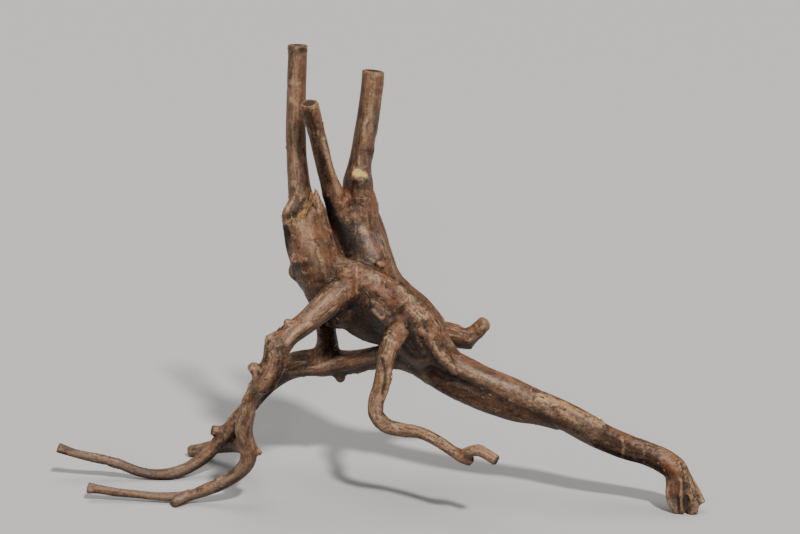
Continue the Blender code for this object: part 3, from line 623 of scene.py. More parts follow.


# What the photo shows on the wood, drawn over it in pixels. Each row: tint, half-width and height in millimetres,
# strength, line
# Pale, umber, dark and black marks also paint highlights and shade: lit tops, shaded undersides, shade in cracks
# and hollows
woodMarks = [
    # The torn trunk: its rim, painted shade in the hollow behind it and painted shadow in the gap under the tall
    # stem
    ("paleAndHighlight", 1.3, 0.8, 1, [(284.5, 224), (290, 221.5), (296, 219.5), (302, 220.5), (306, 216), (310, 208)]),
    ("orange", 2.2, 0, 0.7, [(309, 208), (313, 201), (316, 195)]),
    ("paleAndHighlight", 1.4, 0.3, 1, [(309, 209), (313.5, 200), (316, 194.5)]),
    ("dark", 3.0, -0.8, 0.8, [(292, 215), (297, 208), (303, 202), (309, 198)]),
    ("black", 1.6, -1.6, 1, [(293, 210), (288, 216), (285.5, 221)]),
    ("black", 1.8, -1.4, 0.8, [(295, 210), (300, 205), (305, 200)]),
    ("straw", 7.5, 0, 1, [(299, 214), (303, 209), (307, 204), (311, 198)]),
    ("straw", 1.5, 0.2, 0.8, [(281.5, 215), (280.5, 222)]),
    ("paleAndHighlight", 1.4, 0.3, 0.55, [(297, 190), (292, 203), (284, 214)]),
    # The left trunk's cracks, knots and scars, with painted shade in the cracks and down its left side and a
    # painted highlight down its middle
    ("dark", 0.9, -0.5, 0.7, [(306, 239), (314, 240), (322, 238.5)]),
    ("dark", 0.7, -0.3, 0.5, [(304, 243), (311, 243.5)]),
    ("paleAndHighlight", 0.8, 0.2, 0.9, [(291, 235.5), (294.5, 235.5)]),
    ("paleAndHighlight", 2.2, 1.2, 0.5, [(294, 255.5)]),
    ("dark", 1.6, -0.9, 0.9, [(294, 259)]),
    ("straw", 1.8, 0.5, 0.6, [(292, 270), (292.5, 274)]),
    ("paleAndHighlight", 1.4, 0.5, 0.5, [(300, 279), (303, 290)]),
    ("dark", 1.6, -0.6, 0.8, [(311, 266)]),
    ("dark", 1.4, -0.5, 0.7, [(319.5, 269)]),
    ("orange", 3.4, 1.2, 0.4, [(345, 266)]),
    ("dark", 1.7, -1.5, 1, [(345, 266.5)]),
    ("paleAndHighlight", 7, 0, 0.32, [(307, 224), (311, 250), (318, 268)]),
    ("orange", 7, 0, 0.35, [(303, 262), (312, 276), (322, 282)]),
    ("dark", 1.5, -0.9, 0.55, [(313, 283), (326, 283), (340, 279)]),
    ("shadeUmber", 9, 0, 1, [(286, 230), (287, 245), (289, 262)]),
    ("paleAndHighlight", 6, 0, 0.35, [(302, 226), (309, 245), (320, 262)]),
    # The right trunk's stain, scars, fresh facet and the slit beside it, with painted shade in the slit and a faint
    # painted highlight down its middle
    ("black", 8.5, 0, 0.95, [(345, 230), (350, 240), (354, 249)]),
    ("black", 5.5, 0, 0.7, [(358, 243), (363, 252), (368, 258)]),
    ("black", 3.6, -0.4, 0.95, [(327, 200), (333, 214), (339, 228), (344, 243), (348, 251)]),
    ("paleAndHighlight", 2.8, 0.3, 0.9, [(362, 229), (366.5, 233)]),
    ("paleAndHighlight", 3, 0, 0.2, [(355, 215), (363, 225), (372, 252)]),
    ("paleAndHighlight", 1.5, 0.4, 0.7, [(347, 252), (351, 252.5)]),
    ("paleAndHighlight", 1.8, 1, 0.7, [(327.5, 196)]),
    ("paleAndHighlight", 1.9, 0.9, 0.8, [(341, 203), (343.5, 207)]),
    ("dark", 1.6, -0.8, 0.7, [(343, 198), (340, 210)]),
    ("orange", 2.6, 0.2, 0.85, [(331, 168), (334, 180), (339, 194)]),
    ("paleAndHighlight", 1.2, 0.4, 0.6, [(333, 160), (336, 178)]),
    ("dark", 1.3, -0.4, 0.6, [(351, 195), (354, 182), (363, 178), (371, 184)]),
    ("fresh", 2.2, 0, 1, [(354, 173), (358, 170), (365, 174)]),
    ("fresh", 2.4, 0, 1, [(355, 174.5), (366, 175)]),
    ("fresh", 2.8, 0, 1, [(357, 173), (362, 173)]),
    ("shadeUmber", 1.8, 0, 0.5, [(354, 181.5), (361, 181), (368, 181.5)]),
    ("orange", 9, 0, 0.45, [(372, 190), (380, 215), (388, 238), (395, 258)]),
    ("paleAndHighlight", 1.1, 0.7, 0.6, [(366, 257), (372, 260), (378, 264)]),
    ("black", 2.2, -1.6, 0.9, [(374, 264)]),
    ("straw", 2, 0.6, 0.75, [(380, 264.5)]),
    # The crown: its boss, sinews, pits and the ridges that run to the middle root and the hip, with painted shade
    # in its valleys, pits and the hollow under it, and painted glints
    ("orange", 5.5, 0.8, 0.6, [(346, 277), (353, 272), (362, 268)]),
    ("paleAndHighlight", 0.8, 0.7, 0.6, [(356.5, 266), (357, 282), (356.5, 297)]),
    ("orange", 1.4, 0.4, 0.4, [(350.5, 276), (351.5, 288), (349, 296)]),
    ("dark", 0.8, -0.4, 0.35, [(360.5, 278), (360, 292)]),
    ("paleAndHighlight", 3.2, 0.7, 0.55, [(371, 276), (378, 280)]),
    ("dark", 1.4, -0.6, 0.6, [(384, 277), (383, 282)]),
    ("paleAndHighlight", 1.6, 0.5, 0.35, [(365, 284), (372, 282), (380, 286)]),
    ("orange", 10, 0, 0.6, [(358, 280), (370, 286), (382, 292), (390, 300)]),
    ("paleAndHighlight", 6, 0, 0.3, [(362, 284), (374, 292), (384, 300)]),
    ("dark", 1.6, -1, 0.5, [(375, 294), (381, 298), (386, 303)]),
    ("dark", 1.3, -0.9, 0.5, [(366, 298), (370, 303), (375, 308)]),
    ("paleAndHighlight", 2, 1.2, 0.6, [(373, 301), (379, 306), (385, 310.5), (390, 314)]),
    ("black", 1.3, -1.2, 0.7, [(375.5, 311), (381, 315)]),
    ("orange", 1.6, 0, 0.5, [(386, 318), (393, 319), (400, 320)]),
    ("shadeUmber", 4.5, -0.9, 0.55, [(388, 286), (395, 298), (401, 310), (407, 322)]),
    ("paleAndHighlight", 1.8, 0.5, 0.35, [(398, 286), (405, 295), (410, 302)]),
    ("paleAndHighlight", 5.5, 0.8, 0.8, [(410, 298), (417, 306), (424, 314)]),
    ("paleAndHighlight", 2.2, 0.7, 0.5, [(413, 313), (419, 320)]),
    ("orange", 3, 0.3, 0.6, [(424, 310), (430, 320), (436, 330)]),
    ("paleAndHighlight", 1.6, 0.3, 0.45, [(427, 308), (433, 318)]),
    ("dark", 1, -0.7, 0.5, [(418, 314), (424, 323), (428, 331)]),
    ("orange", 3, 0.3, 0.8, [(421, 295), (427, 300), (431, 306)]),
    ("orange", 5, 0, 0.55, [(400, 276), (410, 284), (421, 293)]),
    ("shadeUmber", 3, -0.5, 0.6, [(424, 336), (431, 343)]),
    ("black", 2.2, -1.2, 0.7, [(441, 330)]),
    ("orange", 1.6, 0.5, 1, [(445, 332)]),
    ("black", 4.4, -1, 0.85, [(410, 326), (412, 336), (415, 346), (417, 352)]),
    ("black", 3.2, -1, 0.85, [(404, 346), (409, 353), (416, 357), (426, 357)]),
    ("paleAndHighlight", 0.7, 0, 0.8, [(410, 335)]),
    ("paleAndHighlight", 0.9, 0, 0.9, [(412.5, 346), (415, 349)]),
    ("black", 4.5, 0, 0.9, [(349, 304), (354, 308), (357, 314)]),
    ("shadeUmber", 10, 0, 0.5, [(347, 318), (364, 325), (380, 338)]),
    ("paleAndHighlight", 1.1, 0.5, 0.3, [(358, 335), (366, 339), (372, 344)]),
    # The side stub's orange ends
    ("orange", 2.4, 0, 0.7, [(478, 321), (484, 319), (487, 325)]),
    ("orange", 1.8, 0.2, 0.8, [(470, 330), (478, 328)]),
    ("orange", 1.8, 0, 0.8, [(472, 343.5), (475, 341)]),
    # The long right root: its crease with painted shade in it, a painted highlight along its top, painted shade
    # over its lower half and far end, flaky patch and ring scar
    ("dark", 1.7, -1.4, 0.8, [(421, 338), (429, 351), (436, 362), (448, 373), (460, 380), (470, 385)]),
    ("dark", 1, -0.5, 0.4, [(470, 385), (482, 390), (500, 396)]),
    ("shadeUmber", 7, 0, 0.75, [(432, 374), (446, 388), (470, 396), (495, 405), (520, 413)]),
    ("shadeUmber", 6, 0, 0.55, [(520, 410), (550, 420), (580, 428), (605, 434)]),
    ("paleAndHighlight", 1.6, 0.6, 0.45, [(430, 338), (438, 352), (450, 364), (464, 373), (474, 377)]),
    ("paleAndHighlight", 3, 0, 0.4, [(462, 367), (480, 375), (500, 383), (516, 389)]),
    ("orange", 2.4, 0, 0.55, [(452, 354), (470, 362), (495, 371), (515, 378)]),
    ("lilac", 3.4, 0, 0.6, [(490, 378), (510, 386), (524, 394)]),
    ("paleAndHighlight", 5, 0.5, 1, [(540, 397), (548, 399), (556, 402)]),
    ("straw", 3, 0.2, 0.6, [(543, 398), (554, 402)]),
    ("paleAndHighlight", 4.2, 0.4, 0.7, [(560, 403), (570, 410), (586, 416), (600, 424)]),
    ("straw", 3, 0.5, 0.85, [(562, 402), (574, 408), (588, 414), (602, 424)]),
    ("dark", 0.8, -0.5, 0.6, [(558, 406), (570, 413), (584, 419)]),
    ("dark", 0.8, -0.5, 0.6, [(566, 401), (573, 404), (581, 411), (590, 413)]),
    ("paleAndHighlight", 1.1, 0.4, 0.5, [(622, 437), (624, 447), (622, 457)]),
    ("dark", 1.1, -0.4, 0.5, [(618, 438), (619.5, 448), (618, 456)]),
    ("dark", 1.1, -0.3, 0.4, [(628, 440), (632, 452)]),
    ("orange", 2, 0, 0.45, [(590, 408), (615, 420), (645, 436), (668, 450)]),
    ("shadeUmber", 8, 0, 1, [(604, 437), (630, 450), (652, 460), (666, 472)]),
    ("shadeUmber", 8, 0, 1, [(600, 444), (625, 458), (650, 468)]),
    ("dark", 7, 0, 0.35, [(612, 446), (632, 455), (654, 464)]),
    # The foot: its grooves with painted shade in them, thin ridge, scoop and toe ends
    ("black", 1, -1.4, 0.9, [(681, 463), (683.8, 475), (684.6, 490), (684.6, 508)]),
    ("black", 1, -1.2, 0.9, [(688, 478), (691.8, 489), (695, 496), (700.5, 505)]),
    ("paleAndHighlight", 1, 1, 0.9, [(680.8, 480), (680.4, 495), (681.5, 509)]),
    ("orange", 3.6, 0.5, 0.6, [(673, 465), (676, 472), (679, 480)]),
    ("paleAndHighlight", 1.3, 0.3, 0.8, [(684, 462), (686.5, 469)]),
    ("straw", 1.5, 0, 0.55, [(682, 470), (686, 476), (692, 484)]),
    ("orange", 7, 0, 0.6, [(668, 466), (675, 480), (676, 492)]),
    ("lilac", 3.8, -0.9, 0.8, [(675, 498), (674, 506)]),
    ("paleAndHighlight", 1.3, 0.6, 0.8, [(666.5, 500), (671, 508), (675.5, 512)]),
    ("paleAndHighlight", 3, 0, 0.4, [(669, 484), (667, 492)]),
    ("paleAndHighlight", 2.6, 0.3, 0.35, [(688, 492), (689, 505)]),
    ("paleAndHighlight", 1.8, 0, 0.9, [(699.5, 499), (702, 501)]),
    ("straw", 1.3, 0.4, 0.6, [(693, 486), (697, 494)]),
    # The front leg: a painted highlight along its edge, painted shade under it and down the shin, the broken elbow
    # and pale spots
    ("orange", 2.6, 0, 0.6, [(333, 300), (322, 310), (310, 318)]),
    ("paleAndHighlight", 2.8, 0.2, 0.45, [(330, 297), (318, 307), (306, 319)]),
    ("paleAndHighlight", 2.8, 0.3, 0.6, [(309, 323), (300, 328), (292, 335), (288, 343)]),
    ("shadeUmber", 3.5, 0, 0.6, [(343, 306), (334, 318), (320, 328)]),
    ("orange", 2.8, 0.8, 0.85, [(266, 337), (271, 333), (279, 332), (284, 334)]),
    ("paleAndHighlight", 1.2, 0.5, 0.6, [(266, 339), (271, 334), (277, 333)]),
    ("dark", 0.9, -0.8, 0.5, [(267, 343), (271, 339), (277, 338)]),
    ("dark", 2.8, -0.3, 0.35, [(272, 344), (276, 348)]),
    ("paleAndHighlight", 1.4, 0.5, 0.7, [(288, 321), (294, 321)]),
    ("paleAndHighlight", 1.7, 0.3, 1, [(259, 368), (261, 371)]),
    ("paleAndHighlight", 1.8, 0.2, 0.4, [(270, 374), (262, 388), (256, 398)]),
    ("shadeUmber", 3, 0, 0.6, [(268, 352), (262, 366), (256, 384), (250, 400)]),
    ("lilac", 3, 0, 0.8, [(258, 378), (254, 387), (251, 394)]),
    ("dark", 0.9, -0.5, 0.35, [(266, 362), (262, 374), (258, 386)]),
    ("shadeUmber", 5, 0, 0.85, [(284, 350), (280, 372), (272, 388), (264, 402)]),
    ("orange", 2, 0.2, 0.45, [(275, 356), (272, 370), (266, 386)]),
    # The middle root: its knuckle, the bark split with painted shade in it and the bare wood beside it
    ("orange", 2.6, 0.7, 0.5, [(389, 327), (396, 324), (403, 326)]),
    ("orange", 2.2, 0.7, 0.7, [(403, 329), (405.5, 336), (403, 343)]),
    ("dark", 1.1, -0.6, 0.4, [(397, 333), (398, 340)]),
    ("paleAndHighlight", 3, 0.3, 0.35, [(389, 340), (391, 356), (388, 372)]),
    ("orange", 3.5, 0.3, 0.6, [(391, 328), (398, 334), (397, 346)]),
    ("dark", 0.9, -0.7, 0.5, [(391, 334), (394, 337)]),
    ("dark", 0.9, -0.7, 0.5, [(387, 344), (389, 350)]),
    ("black", 1.5, -1.2, 0.9, [(382, 359), (385, 370), (384.5, 383), (383, 394)]),
    ("orange", 2.6, 0.3, 1, [(389.5, 365), (390, 375), (388, 387)]),
    ("paleAndHighlight", 2.6, 0.5, 1, [(390.5, 368), (390.5, 378), (387.5, 390), (385, 398)]),
    ("lilac", 2.6, 0, 0.7, [(376, 390), (376, 400), (375, 408)]),
    ("orange", 1.6, 0.5, 0.7, [(381, 388), (380, 396)]),
    # The back root: a painted highlight on its top, painted shade under it, and painted shade down the column
    # behind
    ("paleAndHighlight", 2.2, 0.3, 0.65, [(292, 374), (310, 369), (326, 364), (341, 359)]),
    ("dark", 1.4, -0.4, 0.4, [(300, 378), (318, 376), (334, 372), (350, 366)]),
    ("shadeUmber", 6, 0, 0.45, [(295, 356), (315, 352), (335, 350)]),
    ("shadeUmber", 9, 0, 1, [(327, 322), (327, 337), (328, 348)]),
    # The two thin roots: greyer, with painted shade on their undersides, painted highlights along their tops and
    # rough ends
    ("lilac", 6, 0, 0.75, [(62, 447), (90, 457), (125, 466), (150, 473), (178, 475), (205, 462)]),
    ("lilac", 6, 0, 0.75, [(90, 485), (130, 490), (170, 497), (205, 496), (238, 474)]),
    ("shadeUmber", 8, 0, 0.4, [(62, 447), (90, 457), (125, 466), (150, 473), (178, 475), (205, 462)]),
    ("shadeUmber", 5, 0, 0.85, [(62, 454), (90, 464), (125, 473), (150, 478), (178, 480), (200, 470)]),
    ("shadeUmber", 3, 0, 0.7, [(95, 491), (130, 496), (170, 504), (205, 500), (238, 478)]),
    ("paleAndHighlight", 1.8, 0.3, 0.6, [(98, 484), (118, 486), (138, 489), (160, 493)]),
    ("paleAndHighlight", 1.6, 0.3, 0.45, [(205, 489), (222, 478), (236, 462)]),
    ("paleAndHighlight", 1.6, 0.3, 0.45, [(84, 452), (100, 456), (118, 461)]),
    ("dark", 2.6, -0.3, 0.6, [(64, 447), (72, 450)]),
    ("dark", 2, -0.3, 0.5, [(91, 486), (95, 489)]),
    # The three stems: scars, smears, painted highlight streaks down their middles and painted shade down the middle
    # stem's left side
    ("paleAndHighlight", 5, 0, 0.4, [(370, 76), (369, 110), (364, 146)]),
    ("paleAndHighlight", 4, 0, 0.4, [(296, 56), (296, 112)]),
    ("paleAndHighlight", 3.5, 0, 0.5, [(295, 112), (295, 150), (296, 186)]),
    ("paleAndHighlight", 2, 0.3, 0.55, [(333, 160), (336, 176), (341, 192)]),
    ("dark", 4.2, -0.2, 0.85, [(290, 49.5), (297, 51), (305, 50)]),
    ("paleAndHighlight", 0.9, 0.3, 0.8, [(296, 49), (299, 53)]),
    ("shadeUmber", 4, 0, 0.6, [(366, 150), (372, 152), (377, 149)]),
    ("lilac", 4, 0, 0.5, [(362, 148), (360, 160)]),
    ("paleAndHighlight", 2.8, 0, 0.9, [(291, 82), (298, 84)]),
    ("paleAndHighlight", 3.2, -0.2, 1, [(292, 99), (297, 103), (298, 108)]),
    ("paleAndHighlight", 1.8, 0, 0.5, [(290, 120), (293, 122)]),
    ("paleAndHighlight", 1.8, 0, 0.35, [(296, 110), (297, 135), (297, 165), (298, 188)]),
    ("black", 1.6, -0.6, 0.8, [(304, 150), (305, 155)]),
    ("orange", 2.2, 0, 0.4, [(304, 60), (304, 95), (304, 140), (306, 180)]),
    ("paleAndHighlight", 1.7, 0.5, 1, [(367, 119), (363, 128), (365, 134), (365, 142)]),
    ("paleAndHighlight", 1.8, 0, 0.4, [(369, 76), (370, 90), (368, 110)]),
    ("paleAndHighlight", 1.1, 0.2, 0.8, [(359.5, 156), (358.5, 164)]),
    ("shadeUmber", 6.5, 0, 0.85, [(308, 108), (314, 130), (320, 154), (327, 180)]),
    ("orange", 3.2, 0.2, 0.6, [(325, 132), (330, 150), (336, 168), (341, 188)]),
    ("paleAndHighlight", 2.4, 0.3, 0.85, [(323, 138), (326.5, 152), (330.5, 166), (335, 182), (339, 194)]),
    ("lilac", 1.6, 0, 0.5, [(314, 118), (319, 135), (323, 150)]),
]

# Where the wood is gnarled instead of smooth, in the same way: half-width, line
gnarledZones = [
    (6, [(291, 50), (304, 50)]),
    (18, [(352, 276), (366, 284), (380, 296), (395, 312)]),
    (13, [(398, 290), (415, 305), (428, 325), (436, 345)]),
    (12, [(395, 328), (398, 342)]),
    (8, [(388, 360), (380, 392)]),
    (10, [(272, 338), (276, 348)]),
    (7, [(262, 366), (256, 386)]),
    (9, [(540, 398), (570, 412), (600, 424)]),
    (8, [(684, 470), (688, 500)]),
    (8, [(470, 335), (480, 325)]),
    (9, [(345, 200), (350, 215)]),
    (9, [(298, 262), (305, 275)]),
]

# Sawn ends, with how deep, how high and how far out they reach, and how squarely they face along the wood
sawnEnds = {
    "strands": ("tallStem", "middleStem", "rightStem", "frontLeg", "backRoot", "middleRootHook", "backRootTwig"),
    "depth": (-0.9, -0.3),
    "above": 1.2,
    "radius": 1.35,
    "facing": (0.6, 0.85),
    "farthestRing": 1.2,
}
packedTints = {
    "paleOrangeDark": ("paleAndHighlight", "orange", "dark"),
    "blackStrawFresh": ("black", "straw", "fresh"),
    "lilacShadeUmberTorn": ("lilac", "shadeUmber", "torn"),
}


def noiseAt(points, spacing, octaves=1):
    spots = points / (spacing * mm)
    if octaves == 1:
        return np.array([noise.noise(Vector(spot)) for spot in spots])
    return np.array([noise.fractal(Vector(spot), 0.8, 2.1, octaves) for spot in spots])


def markShare(skin, places, width, ragged):
    # 1 in the middle of a mark, falling to 0 at a ragged edge
    share = np.zeros(len(skin.places))
    if not len(places):
        return share
    reach = width * rootWood["markReach"] * mm
    near = np.all((skin.places > places.min(0) - reach) & (skin.places < places.max(0) + reach), axis=1)
    near = np.flatnonzero(near)
    apart = np.linalg.norm(skin.places[near][:, None, :] - places[None, :, :], axis=2).min(axis=1)
    apart = apart / (width * mm) * (1 + rootWood["markRagged"] * ragged[near])
    share[near] = 1 - smoothStep(apart, *rootWood["markEdge"])
    toCamera = unit(np.array(cameraPlace()) - skin.places[near])
    share[near] *= smoothStep(np.sum(toCamera * skin.normals[near], axis=1), *rootWood["markFacing"])
    return share


def buildRootSkin():
    wood = rootWood
    strands = [Strand(name, **facts) for name, facts in [*rootStrands.items(), *rootKnots.items()]]
    whole = bmesh.new()
    for strand in strands:
        part = tube(strand)
        piece = bpy.data.meshes.new("piece")
        part.to_mesh(piece)
        part.free()
        whole.from_mesh(piece)
        bpy.data.meshes.remove(piece)
    mesh = bpy.data.meshes.new("rootSkin")
    whole.to_mesh(mesh)
    whole.free()
    root = sceneObject("rootSkin", mesh)
    for _ in range(wood["settlePasses"]):
        withModifier(root, "REMESH", mode="VOXEL", voxel_size=wood["voxel"] * mm)
        places = settle(vertexPlaces(root.data), strands)
        setPlaces(root.data, places)
    print("root: settled", len(root.data.vertices), "vertices")

    skin = Skin(root.data, strands)
    tree = treeOf(skin.places, root.data)
    ragged = noiseAt(skin.places, wood["raggedSpacing"], 2)
    height = np.zeros(len(skin.places))
    shares = {tint: np.zeros(len(skin.places)) for names in packedTints.values() for tint in names}
    for tint, width, rise, strength, line in woodMarks:
        share = markShare(skin, markPlaces(tree, line), width, ragged)
        height += share * rise * wood["markHeight"] * mm
        shares[tint] = np.maximum(shares[tint], share * strength)
    gnarl = np.zeros(len(skin.places))
    for width, line in gnarledZones:
        gnarl = np.maximum(gnarl, markShare(skin, markPlaces(tree, line), width, ragged))
    crown = noiseAt(skin.places + wood["crownShift"], wood["crownSpacing"], 2)
    height += wood["crownHeight"] * mm * gnarl * crown
    # Elsewhere, also on the sides that the photo hides, the wood is gnarled in patches
    patches = noiseAt(skin.places + wood["patchShift"], wood["patchSpacing"], 3)
    patches = smoothStep(patches, *wood["patchEdge"])
    gnarl = np.clip(np.maximum(gnarl, wood["patchShare"] * patches), 0, 1)
    print("root: marks laid")

    cut, ring = cutEnds(skin, strands)
    tear, torn = tearRelief(skin, strands)
    shares["torn"] = torn
    bark = (1 - cut) * (1 - torn)
    run = skin.along[:, None] * mm
    around = skin.across * mm
    lump = noiseAt(np.hstack([run, around[:, :1], around[:, 1:2] + around[:, 2:]]), wood["lumpSpacing"])
    flute = noiseAt(
        np.hstack([run / wood["fluteStretch"], around[:, :1] + around[:, 1:2], around[:, 2:]]), wood["fluteSpacing"]
    )
    ripple = noiseAt(
        np.hstack([run / wood["rippleStretch"], around[:, :1] - around[:, 1:2], around[:, 2:]]),
        wood["rippleSpacing"],
    )
    height += skin.thick * (wood["lumpHeight"] * lump + wood["fluteHeight"] * flute) * bark
    smooth = [number for number, strand in enumerate(strands) if strand.name in wood["smoothBark"]]
    grainy = np.where(np.isin(skin.strandOf, smooth), wood["barkGrain"], 1.0)
    grainy = skin.smoothed(grainy, wood["barkRounds"])
    height += wood["rippleHeight"] * mm * ripple * bark * (1 - skin.seam) * grainy
    rough = noiseAt(skin.places, wood["gnarlSpacing"], 3)
    height += wood["gnarlHeight"] * mm * rough * gnarl * bark
    pits = np.array([noise.voronoi(Vector(spot))[0][0] for spot in skin.places / (wood["pitSpacing"] * mm)])
    pitted = (1 - smoothStep(pits, *wood["pitEdge"])) * smoothStep(gnarl, *wood["pittedFrom"]) * bark
    height -= wood["pitDepth"] * mm * pitted
    shortStreaks = skin.streaks(*wood["shortStreaks"])
    longStreaks = skin.streaks(*wood["longStreaks"])
    height += wood["fibreHeight"] * mm * (shortStreaks + longStreaks - 1) * bark
    places = skin.places + skin.normals * height[:, None] + tear
    places[:, 2] = np.maximum(places[:, 2], 0)
    setPlaces(root.data, places)

    skin.places = places
    skin.normals = vertexNormals(root.data)
    skin.gnarl, skin.cut, skin.torn = gnarl, cut, torn
    skin.ridge = np.clip(skin.bumpiness(wood["ridgeRounds"]), -1, 1)
    # The sky share drives painted shade underneath and in hollows
    sky = skyShare(skin, treeOf(places, root.data))
    print("root: sky seen")
    fields = {
        "along": skin.along,
        "across": skin.across,
        "seam": skin.seam,
        "streakShort": shortStreaks,
        "streakLong": longStreaks,
        "ridge": skin.ridge,
        # The swell drives painted shade and light in the tone
        "swellShade": np.clip(skin.bumpiness(wood["swellRounds"]) / wood["swellHeight"], -1, 1),
        "gnarl": gnarl,
        "pitted": pitted,
        "cut": cut,
        "ring": ring,
        "sky": sky,
        "grainy": grainy * (1 - wood["gnarlHides"] * gnarl),
    }
    for label, names in packedTints.items():
        fields[label] = np.stack([shares[one] for one in names], axis=1)
    giveFields(root.data, fields)
    root.data.shade_smooth()
    print("root: dressed", len(root.data.polygons), "faces")
    return root, skin


def treeOf(places, mesh):
    return BVHTree.FromPolygons(
        [tuple(place) for place in places], [tuple(face.vertices) for face in mesh.polygons]
    )


def giveFields(mesh, fields):
    for label, values in fields.items():
        kind, entry = ("FLOAT", "value") if values.ndim == 1 else ("FLOAT_VECTOR", "vector")
        attribute = mesh.attributes.new(label, kind, "POINT")
        attribute.data.foreach_set(entry, values.astype(np.float32).ravel())


def cutEnds(skin, strands):
    # 1 on a sawn end, and how far out on it, from 0 at the pith to 1 at the bark
    cut = np.zeros(len(skin.places))
    ring = np.zeros(len(skin.places))
    for strand in strands:
        if strand.name not in sawnEnds["strands"]:
            continue
        offset = skin.places - strand.cutAt
        beyond = offset @ strand.cutFaces
        flat = offset - beyond[:, None] * strand.cutFaces
        radius = np.linalg.norm(flat, axis=1) / strand.cutRadius
        on = smoothStep(beyond / mm, *sawnEnds["depth"])
        on *= (radius < sawnEnds["radius"]) * (beyond < sawnEnds["above"] * mm)
        on *= smoothStep(skin.normals @ strand.cutFaces, *sawnEnds["facing"])
        better = on > cut
        cut[better] = on[better]
        ring[better] = np.minimum(radius[better], sawnEnds["farthestRing"])
    return cut, ring


# The left trunk's torn end, in millimetres: a ragged rim, a hollow and fibres that climb to the splinter
tornEnd = {
    "rimHeight": 1.0,
    "hollowDepth": 3.0,
    "climb": 6.0,
    "climbRange": (0, 11),
    "fibreSpacing": 1.9,
    "fibreHeight": 1.1,
    "stepSpacing": 5.5,
    "stepHeight": 1.6,
    "stepShift": 0.2,
    "innerWay": (-0.85, 0.15, 0.5),
    "rimFrom": (0.78, 0.95),
    "hollowTo": (0.5, 0.85),
    "topDepth": (-1.2, -0.4),
    "topAbove": 1.5,
    "topRadius": 1.1,
    "topFacing": (0.5, 0.75),
    "splinterReach": 1.2,
    "splinterFacing": (0.15, 0.5),
    "reach": 25,
    "reachRadius": 1.3,
}


def tearRelief(skin, strands):
    # How far the torn wood moves, and how torn each place is
    facts = tornEnd
    trunk, splinter = [strand for strand in strands if strand.name in ("leftTrunk", "tornSplinter")]
    offset = skin.places - trunk.cutAt
    beyond = offset @ trunk.cutFaces
    flat = offset - beyond[:, None] * trunk.cutFaces
    radius = np.linalg.norm(flat, axis=1) / trunk.cutRadius
    top = smoothStep(beyond / mm, *facts["topDepth"])
    top *= (beyond < facts["topAbove"] * mm) * (radius < facts["topRadius"])
    top *= smoothStep(skin.normals @ trunk.cutFaces, *facts["topFacing"])
    near = np.flatnonzero((np.abs(beyond) < facts["reach"] * mm) & (radius < facts["reachRadius"]))
    side = np.zeros(len(skin.places))
    inner = unit(np.array(facts["innerWay"]))
    side[near] = (splinter.depth(skin.places[near])[0] < facts["splinterReach"] * mm) * (beyond[near] > -mm)
    side *= smoothStep(skin.normals @ inner, *facts["splinterFacing"])
    torn = np.maximum(top, side)
    spots = np.where(torn[:, None] > 0, flat, 0)
    fibre = noiseAt(spots, facts["fibreSpacing"], 2) * facts["fibreHeight"]
    steps = noiseAt(spots + facts["stepShift"], facts["stepSpacing"]) * facts["stepHeight"]
    low, high = facts["climbRange"]
    climb = smoothStep(flat[:, 0], low * mm, high * mm)
    rise = facts["climb"] * climb
    rise += facts["rimHeight"] * smoothStep(radius, *facts["rimFrom"])
    rise -= facts["hollowDepth"] * (1 - smoothStep(radius, *facts["hollowTo"])) * (1 - climb)
    move = (fibre + steps) * torn + rise * top
    return trunk.cutFaces * (move * mm)[:, None], torn


def skyShare(skin, tree):
    # How much of the sky each vertex sees, from 0 underneath to 1 on an open top; little sky means painted shade
    turns, start, reach = rootWood["skyTurns"], rootWood["skyStart"] * mm, rootWood["skyReach"] * mm
    ways = [Vector((0, 0, 1))]
    for level, up in enumerate(rootWood["skyLevels"]):
        out = math.sqrt(1 - up * up)
        for turn in range(turns):
            angle = (turn + 0.5 * (level % 2)) * math.tau / turns
            ways.append(Vector((out * math.cos(angle), out * math.sin(angle), up)))
    facing = skin.normals @ np.array(ways).T
    seen = np.zeros(len(skin.places))
    for i, (place, normal) in enumerate(zip(skin.places, skin.normals)):
        lifted = Vector(place + normal * start)
        for j in np.flatnonzero(facing[i] > rootWood["skyFacing"]):
            if tree.ray_cast(lifted, ways[j], reach)[0] is None:
                seen[i] += facing[i, j]
    return skin.smoothed(seen / sum(way.z for way in ways), rootWood["skyRounds"])


def toLinear(hexColour):
    parts = [int(hexColour[i:i + 2], 16) / 255 for i in (1, 3, 5)]
    return (*[part / 12.92 if part <= 0.04045 else ((part + 0.055) / 1.055) ** 2.4 for part in parts], 1)


def startMaterial(name):
    material = bpy.data.materials.new(name)
    material.use_nodes = True
    shader = material.node_tree.nodes["Principled BSDF"]
    shader.inputs["IOR"].default_value = 1.5
    shader.inputs["Metallic"].default_value = 0.0
    return material, material.node_tree, shader


def addNode(tree, kind, inputs=None, **settings):
    node = tree.nodes.new(kind)
    for name, value in settings.items():
        setattr(node, name, value)
    for socket, value in (inputs or {}).items():
        if isinstance(value, bpy.types.NodeSocket):
            tree.links.new(value, node.inputs[socket])
        else:
            node.inputs[socket].default_value = value
    return node


def workOut(tree, field, rows):
    # Each row names a value and says how it comes from others: ramp is a soft step, line a straight one
    easing = {"ramp": "SMOOTHSTEP", "line": "LINEAR"}
    for label, how, *given in rows:
        given = [field[one] if isinstance(one, str) else one for one in given]
        if how in easing:
            sockets = dict(zip(("Value", "From Min", "From Max", "To Min", "To Max"), given))
            kind, settings = "ShaderNodeMapRange", {"interpolation_type": easing[how]}
        else:
            sockets, kind, settings = dict(enumerate(given)), "ShaderNodeMath", {"operation": how}
        field[label] = addNode(tree, kind, sockets, **settings).outputs[0]


